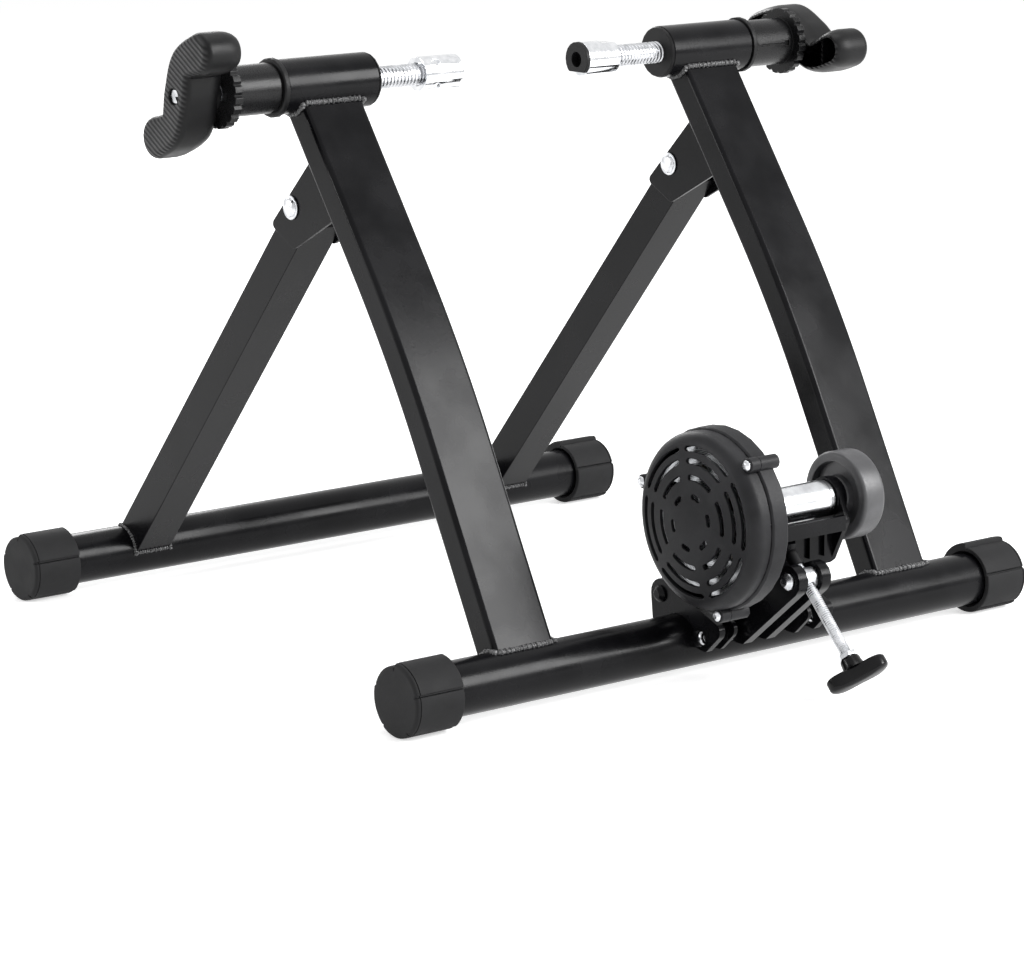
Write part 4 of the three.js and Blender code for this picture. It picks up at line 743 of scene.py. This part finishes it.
def handle_outline(half, count=40, end_steps=14):
    """The handle seen along the clamp's axis, so wide to each side of its middle line."""
    middle = handle_middle(count)
    outline = []
    for hand in (1, -1):
        line = []
        for i, point in enumerate(middle):
            before, after = middle[max(i - 1, 0)], middle[min(i + 1, count)]
            along = (after - before).normalized()
            waist = math.sin(i / count * full_turn)
            line.append(point + away_from(along) * hand * half * (1 - waist_share * waist * waist))
        if hand < 0:
            line.reverse()
        outline += line
        last = middle[-1] if hand > 0 else middle[0]
        start = math.atan2(outline[-1].y - last.y, outline[-1].x - last.x)
        for i in range(1, end_steps):
            angle = start + i / end_steps * math.pi
            outline.append(last + Vector((math.cos(angle), math.sin(angle))) * half)
    return [(p.x, p.y) for p in outline]


# The handle's outline draws in towards the sleeve. These are [place, half width], from inside the pocket,
# round the lip and out again to the rounded outer rim
pocket_half = half_band - handle_wall
handle_stations = [
    (handle_end - handle_wall, pocket_half), (handle_start + 12, pocket_half),
    (handle_start + 5, pocket_half - 1), (handle_start + 0.8, pocket_half - 2.6),
    (handle_start, pocket_half - 2.4), (handle_start, half_band - 4.6), (handle_start + 0.6, half_band - 3.6),
    (handle_start + 3, half_band - 2), (handle_start + 7, half_band - 0.7), (handle_start + 12, half_band),
]
rim_steps = 8
for i in range(rim_steps + 1):
    angle = i / rim_steps * quarter
    handle_stations.append((
        handle_end - handle_round * (1 - math.sin(angle)), half_band - handle_round * (1 - math.cos(angle)),
    ))
# The hole for the handle's bolt, as [radius, place]
handle_hole = [(6.1, handle_end), (5.5, handle_end - 0.6), (5.5, handle_end - 6)]
hub_end = 289.6
hub_profile = [
    (handle_start, hub_bore), (handle_start, hub_radius), (hub_end, hub_radius), (hub_end, 0), (hub_floor, 0),
    (hub_floor, hub_bore),
]
rib_places = [(-26.8, -10.4), (26.8, 10.4)]


def build_handle(hand, turned_by):
    mesh = bmesh.new()
    skin = [loop_at(mesh, handle_outline(half), along) for along, half in handle_stations]
    bridge(mesh, skin)
    bmesh.ops.contextual_create(mesh, geom=skin[0])
    hole = [round_loop(mesh, radius, along) for radius, along in handle_hole]
    bridge(mesh, hole)
    bmesh.ops.contextual_create(mesh, geom=hole[-1])
    bmesh.ops.triangle_fill(mesh, edges=skin[-1] + hole[0], use_beauty=True, use_dissolve=False)
    bmesh.ops.recalc_face_normals(mesh, faces=mesh.faces)
    hub = turned(hub_profile, steps=40)
    ribs = []
    for y, z in rib_places:
        near, far, low, high = y - rib_half, y + rib_half, z - rib_reach, z + rib_reach
        ribs.append(slab([(near, low), (far, low), (far, high), (near, high)], rib_start, hub_end))
    place = clamp_place(hand) @ Matrix.Rotation(math.radians(turned_by), 4, "X")
    body = f"{hand}_screw_and_handle"
    mesh = joined([mesh, hub, *ribs])
    finished(mesh, f"{hand}_clamp_handle", body, grip, [f"{hand}_handle"], place, sharp=50)


for hand, _ in sides:
    build_cap("rear", hand, 0)
    build_cap("front", hand, foot_spacing)
build_handle("left", turned_by=42)
build_handle("right", turned_by=0.5)

# The base block's clamping screws show bright heads low on its back
base_screw_places = (-34.1, -12, 65.1)
base_screw_profile = [
    (25.7, 0), (25.7, 5.4), (27.4, 5.4), (28.8, 4.6), (29.3, 3.2), (29.3, 2.4), (27.9, 2.2), (27.9, 0),
]
base_screw_angle = math.radians(165)
outward = Vector((0, math.cos(base_screw_angle), math.sin(base_screw_angle)))
head_turn = Matrix((outward, x_axis, outward.cross(x_axis))).transposed().to_4x4()
for number, along in enumerate(base_screw_places):
    place = Matrix.Translation((along, 0, foot_axis)) @ head_turn
    head = turned(base_screw_profile, steps=32)
    finished(head, f"base_screw_head_{number + 1}", "frame", zinc, place=place)

# Base block and tilting unit
dressed("base_block", black_coat, edge=0.5)
dressed("roller_bracket", black_coat, edge=0.5)
dressed("tilt_bolt", black_coat)
for node in ("tilt_nut", "tilt_sleeve", "roller_shaft", "flywheel_nut", "swivel_nut"):
    dressed(node, zinc)
for number in (1, 2, 3):
    dressed(f"housing_screw_{number}", zinc, edge=0.3)
dressed("magnet_plate", nickel, edge=0.3)
dressed("brake_rotor", aluminium, edge=0.3)
dressed("tip_cap", dull_plastic, edge=0.3)
dressed("housing_back", housing_plastic, edge=0.6)

roller_behind, roller_above = 45, 95.1
roller_place = Matrix.Translation((0, -roller_behind, foot_axis + roller_above))
roller_profile = [
    (-22.6, 5.3), (-22.6, 12), (-22.3, 12.7), (-21.6, 13), (55.6, 13), (56.3, 12.7), (56.6, 12), (56.6, 5.3),
]
mesh = turned(roller_profile, fine_steps)
finished(mesh, "roller_tube", "spinning_group", steel_tube, ["roller"], roller_place)
flywheel_profile = [
    (66.6, 5.3), (66.6, 13), (67.4, 13.8), (71.6, 14.5), (71.6, 23), (66.9, 24.2), (66.6, 24.8), (66.6, 28),
    (67.2, 29.6), (68.2, 30.6), (69.6, 31), (83.6, 31), (85, 30.6), (86, 29.6), (86.6, 28), (86.6, 24.8),
    (86.3, 24.2), (81.6, 23), (81.6, 14.5), (85.8, 13.8), (86.6, 13), (86.6, 5.3),
]
mesh = turned(flywheel_profile, fine_steps)
finished(mesh, "flywheel_casting", "spinning_group", iron, ["flywheel"], roller_place)

# The brake's front shell: a domed grille on a rounded rim, with long screw bosses
face_x, split_x, grille_radius, rim_radius, dome, shell_wall = -60, -46, 54.5, 61, 4.6, 2.4
# Slots lie in rows of [radius, half of their angle in degrees], one in each sector
slot_rows = ((50.2, 24.5), (42, 22), (31, 19), (18.5, 8))
slot_half, slot_sector, slot_phase, slot_margin, slot_rings, grille_steps = 1.9, 60, 15, 1.2, 9, 360


def in_slot(y, z):
    """Whether a point of the face lies in one of the grille's round-ended slots."""
    radius, angle = math.hypot(y, z), math.degrees(math.atan2(z, -y))
    off_middle = (angle - slot_phase + slot_sector / 2) % slot_sector - slot_sector / 2
    for row, half_angle in slot_rows:
        past = max(abs(off_middle) - half_angle, 0)
        end = math.radians(past) * row
        if math.hypot(radius - row, end) < slot_half:
            return True
    return False


def in_grille_slot(face):
    middle = face.calc_center_median()
    return middle.yz.length < grille_radius and in_slot(*middle.yz)


def build_grille():
    ring_width = slot_half * 2 / slot_rings
    radii = [0, 6, 12]
    for row, _ in sorted(slot_rows):
        rings = [row - slot_half + i * ring_width for i in range(slot_rings + 1)]
        radii += [row - slot_half - slot_margin, *rings, row + slot_half + slot_margin]
    radii += [grille_radius]
    radii = sorted(set(round(radius, 3) for radius in radii))
    profile = [(face_x - dome * (1 - (radius / grille_radius) ** 2), radius) for radius in radii]
    profile += [(-58.6, 57), (-57, 58.9), (-55.2, 60.2), (-53.2, 60.9), (-51, rim_radius)]
    profile += [(split_x, rim_radius)]
    mesh = turned(profile, grille_steps, closed=False)
    bmesh.ops.remove_doubles(mesh, verts=mesh.verts, dist=same_place)
    holes = [face for face in mesh.faces if in_grille_slot(face)]
    bmesh.ops.delete(mesh, geom=holes, context="FACES")
    bmesh.ops.recalc_face_normals(mesh, faces=mesh.faces)
    # The wall grows inwards only if the grille's face looks out, to the stand's left
    if sum(f.normal.x * f.calc_area() for f in mesh.faces if abs(f.normal.x) > 0.9) > 0:
        bmesh.ops.reverse_faces(mesh, faces=mesh.faces)
    bmesh.ops.solidify(mesh, geom=list(mesh.faces), thickness=shell_wall)
    mesh.transform(stand @ roller_place)
    shaded(
        mesh, "brake_grille_shell", "tilting_unit", housing_plastic, ["housing_front"], edge=0, sharp=50,
        segments=2,
    )


build_grille()
boss_count, boss_circle, first_boss = 3, 64.6, math.radians(45)
boss_profile = [(-54, 2.3), (-54, 4.4), (-53.4, 5), (-46.2, 5), (-46, 4.8), (-46, 2.3)]
for number in range(boss_count):
    angle = first_boss + number / boss_count * full_turn
    y, z = -boss_circle * math.cos(angle), boss_circle * math.sin(angle)
    place = roller_place @ Matrix.Translation((0, y, z))
    boss = turned(boss_profile, steps=32)
    finished(boss, f"brake_screw_boss_{number + 1}", "tilting_unit", housing_plastic, place=place)

# Tension screw with its lock nut, drawn along X from the swivel nut
swivel_along, swivel_behind, swivel_above = 11.5, 76, 51.1
screw_angle, knob_angle = math.radians(46.5), math.radians(-40)
run = Vector((0, math.cos(screw_angle), math.sin(screw_angle)))
screw_turn = Matrix((run, -x_axis, run.cross(-x_axis))).transposed().to_4x4()
screw_place = Matrix.Translation((swivel_along, -swivel_behind, foot_axis + swivel_above)) @ screw_turn
rod = threaded(radius=4, depth=0.3, pitch=1.5, start=-77.7, end=9.7, steps=16)
tip = turned([(9, 0), (9, 2.8), (17.7, 2.8), (17.7, 0)], steps=24)
mesh = joined([rod, tip])
finished(mesh, "tension_screw_rod", "screw_and_knob", zinc, ["tension_screw"], screw_place, sharp=30)
nut_radius, nut_start, nut_end = 6.4, -64.2, -60.8
hexagon = [(nut_radius * math.cos(i * math.pi / 3), nut_radius * math.sin(i * math.pi / 3)) for i in range(6)]
lock_nut = slab(hexagon, nut_start, nut_end)
round_rims(lock_nut, 0.5, segments=2)
finished(lock_nut, "knob_lock_nut", "screw_and_knob", zinc, place=screw_place)

# The tension screw's knob
wing_reach, wing_radius, wing_neck, wing_waist = 14.3, 7.4, 6.9, 6.6


def wing_outline(share, steps=16):
    """The knob seen along its screw: two round wings that run into a slightly narrower middle."""
    points = []
    for side in (1, -1):
        for i in range(steps + 1):
            angle = (i / steps - 0.5) * math.pi + (0 if side > 0 else math.pi)
            points.append((side * wing_reach + wing_radius * math.cos(angle), wing_radius * math.sin(angle)))
        half_way = side * wing_reach * 0.5
        points += [(half_way, side * wing_neck), (0, side * wing_waist), (-half_way, side * wing_neck)]
    return [(y * share, z * share) for y, z in points]


# The knob's domed face and rounded rim, as [place, share of its outline]
wing_stations = (
    (-72.5, 0.86), (-72.8, 0.94), (-73.6, 0.99), (-74.6, 1), (-79.6, 1), (-80.9, 0.97), (-81.9, 0.9),
    (-82.7, 0.78), (-83.2, 0.6), (-83.5, 0.34),
)
wings = bmesh.new()
loops = [loop_at(wings, wing_outline(share), along) for along, share in wing_stations]
bridge(wings, loops)
bmesh.ops.contextual_create(wings, geom=loops[0])
bmesh.ops.contextual_create(wings, geom=loops[-1])
hub = turned([(-73, 0), (-73, 8.4), (-70, 7.4), (-66, 7), (-64.9, 6.4), (-64.5, 5.4), (-64.5, 0)], steps=48)
knob_place = screw_place @ Matrix.Rotation(knob_angle, 4, "X")
mesh = joined([wings, hub])
finished(mesh, "tension_wing_knob", "screw_and_knob", knob_plastic, ["tension_knob"], knob_place, sharp=50)


def larger(tree, first, second):
    return add(tree, "ShaderNodeMath", {"operation": "MAXIMUM"}, {0: first, 1: second}).outputs[0]


def seen_itself(tree):
    """1 where a surface is seen straight, mirrored or through glass, and 0 where it lights a dull face."""
    rays = add(tree, "ShaderNodeLightPath").outputs
    seen = larger(tree, rays["Is Camera Ray"], rays["Is Glossy Ray"])
    return larger(tree, seen, rays["Is Transmission Ray"])


# A white studio, which lights dull faces half as strongly as it looks
white = (1, 1, 1, 1)
studio = bpy.data.worlds.new("white_studio")
bpy.context.scene.world = studio
tree = emptied(studio)
level = add(tree, "ShaderNodeMapRange", {"To Min": 0.5, "To Max": 1.0}, {"Value": seen_itself(tree)})
light = add(tree, "ShaderNodeBackground", {"Color": white}, {"Strength": level.outputs[0]})
add(tree, "ShaderNodeOutputWorld", links={"Surface": light.outputs[0]})

# A paper floor, which is lifted to white where it is seen and keeps its shadow
floor_mesh = bmesh.new()
bmesh.ops.create_grid(floor_mesh, x_segments=1, y_segments=1, size=30)
floor_data = bpy.data.meshes.new("studio_floor")
floor_mesh.to_mesh(floor_data)
floor_mesh.free()
floor = put_in_scene("studio_floor", floor_data)
paper = bpy.data.materials.new("white_paper_floor")
tree = emptied(paper)
lift = add(tree, "ShaderNodeMath", {"operation": "MULTIPLY", 1: 0.5}, {0: seen_itself(tree)})
sheet = add(tree, "ShaderNodeBsdfDiffuse", {"Color": linear("#f2f2f2")})
glow = add(tree, "ShaderNodeEmission", {"Color": white}, {"Strength": lift.outputs[0]})
both = add(tree, "ShaderNodeAddShader", links={0: sheet.outputs[0], 1: glow.outputs[0]})
add(tree, "ShaderNodeOutputMaterial", links={"Surface": both.outputs[0]})
floor_data.materials.append(paper)


def soft_light(name, place, target, size, power):
    """A softbox of [width, height] in metres that looks at a target."""
    lamp = bpy.data.lights.new(name, "AREA")
    lamp.shape = "RECTANGLE"
    lamp.size, lamp.size_y = size
    lamp.energy = power
    light_object = put_in_scene(name, lamp)
    light_object.location = place
    light_object.rotation_euler = (Vector(target) - Vector(place)).to_track_quat("-Z", "Y").to_euler()


stand_middle = (0, 0, 0.15)
soft_light("overhead_softbox", (0.2, 0.3, 2.8), (0, 0.2, 0.1), size=(1.8, 1.4), power=22)
soft_light("rear_right_softbox", (1.4, -2.2, 1.5), stand_middle, size=(1.2, 1.5), power=105)
soft_light("front_softbox", (0.9, 2.9, 1.5), stand_middle, size=(1.4, 1.2), power=40)
soft_light("front_left_softbox", (-2.3, 1.5, 0.9), stand_middle, size=(0.8, 0.8), power=22)

# The camera stands behind the trainer's left and looks slightly down. Its focal length is in pixels of a
# picture 1024 pixels wide
focal_length, picture_width, sensor_width = 3783.1, 1024, 36
yaw, pitch, roll = 0.661, -0.219, -0.008
camera_data = bpy.data.cameras.new("photo_camera")
camera = put_in_scene("photo_camera", camera_data)
camera_data.sensor_width = sensor_width
camera_data.lens = focal_length / picture_width * sensor_width
camera_data.clip_end = 100
forward = Vector((math.sin(yaw) * math.cos(pitch), math.cos(yaw) * math.cos(pitch), math.sin(pitch)))
level_right = Vector((math.cos(yaw), -math.sin(yaw), 0))
level_up = level_right.cross(forward)
right = level_right * math.cos(roll) + level_up * math.sin(roll)
up = level_up * math.cos(roll) - level_right * math.sin(roll)
facing = Matrix((right, up, -forward)).transposed().to_4x4()
eye = stand @ Vector((-1672.3, -1918.8, 695.6))
camera.matrix_world = Matrix.Translation(eye) @ facing
bpy.context.scene.camera = camera
bpy.context.scene.view_settings.view_transform = "Standard"
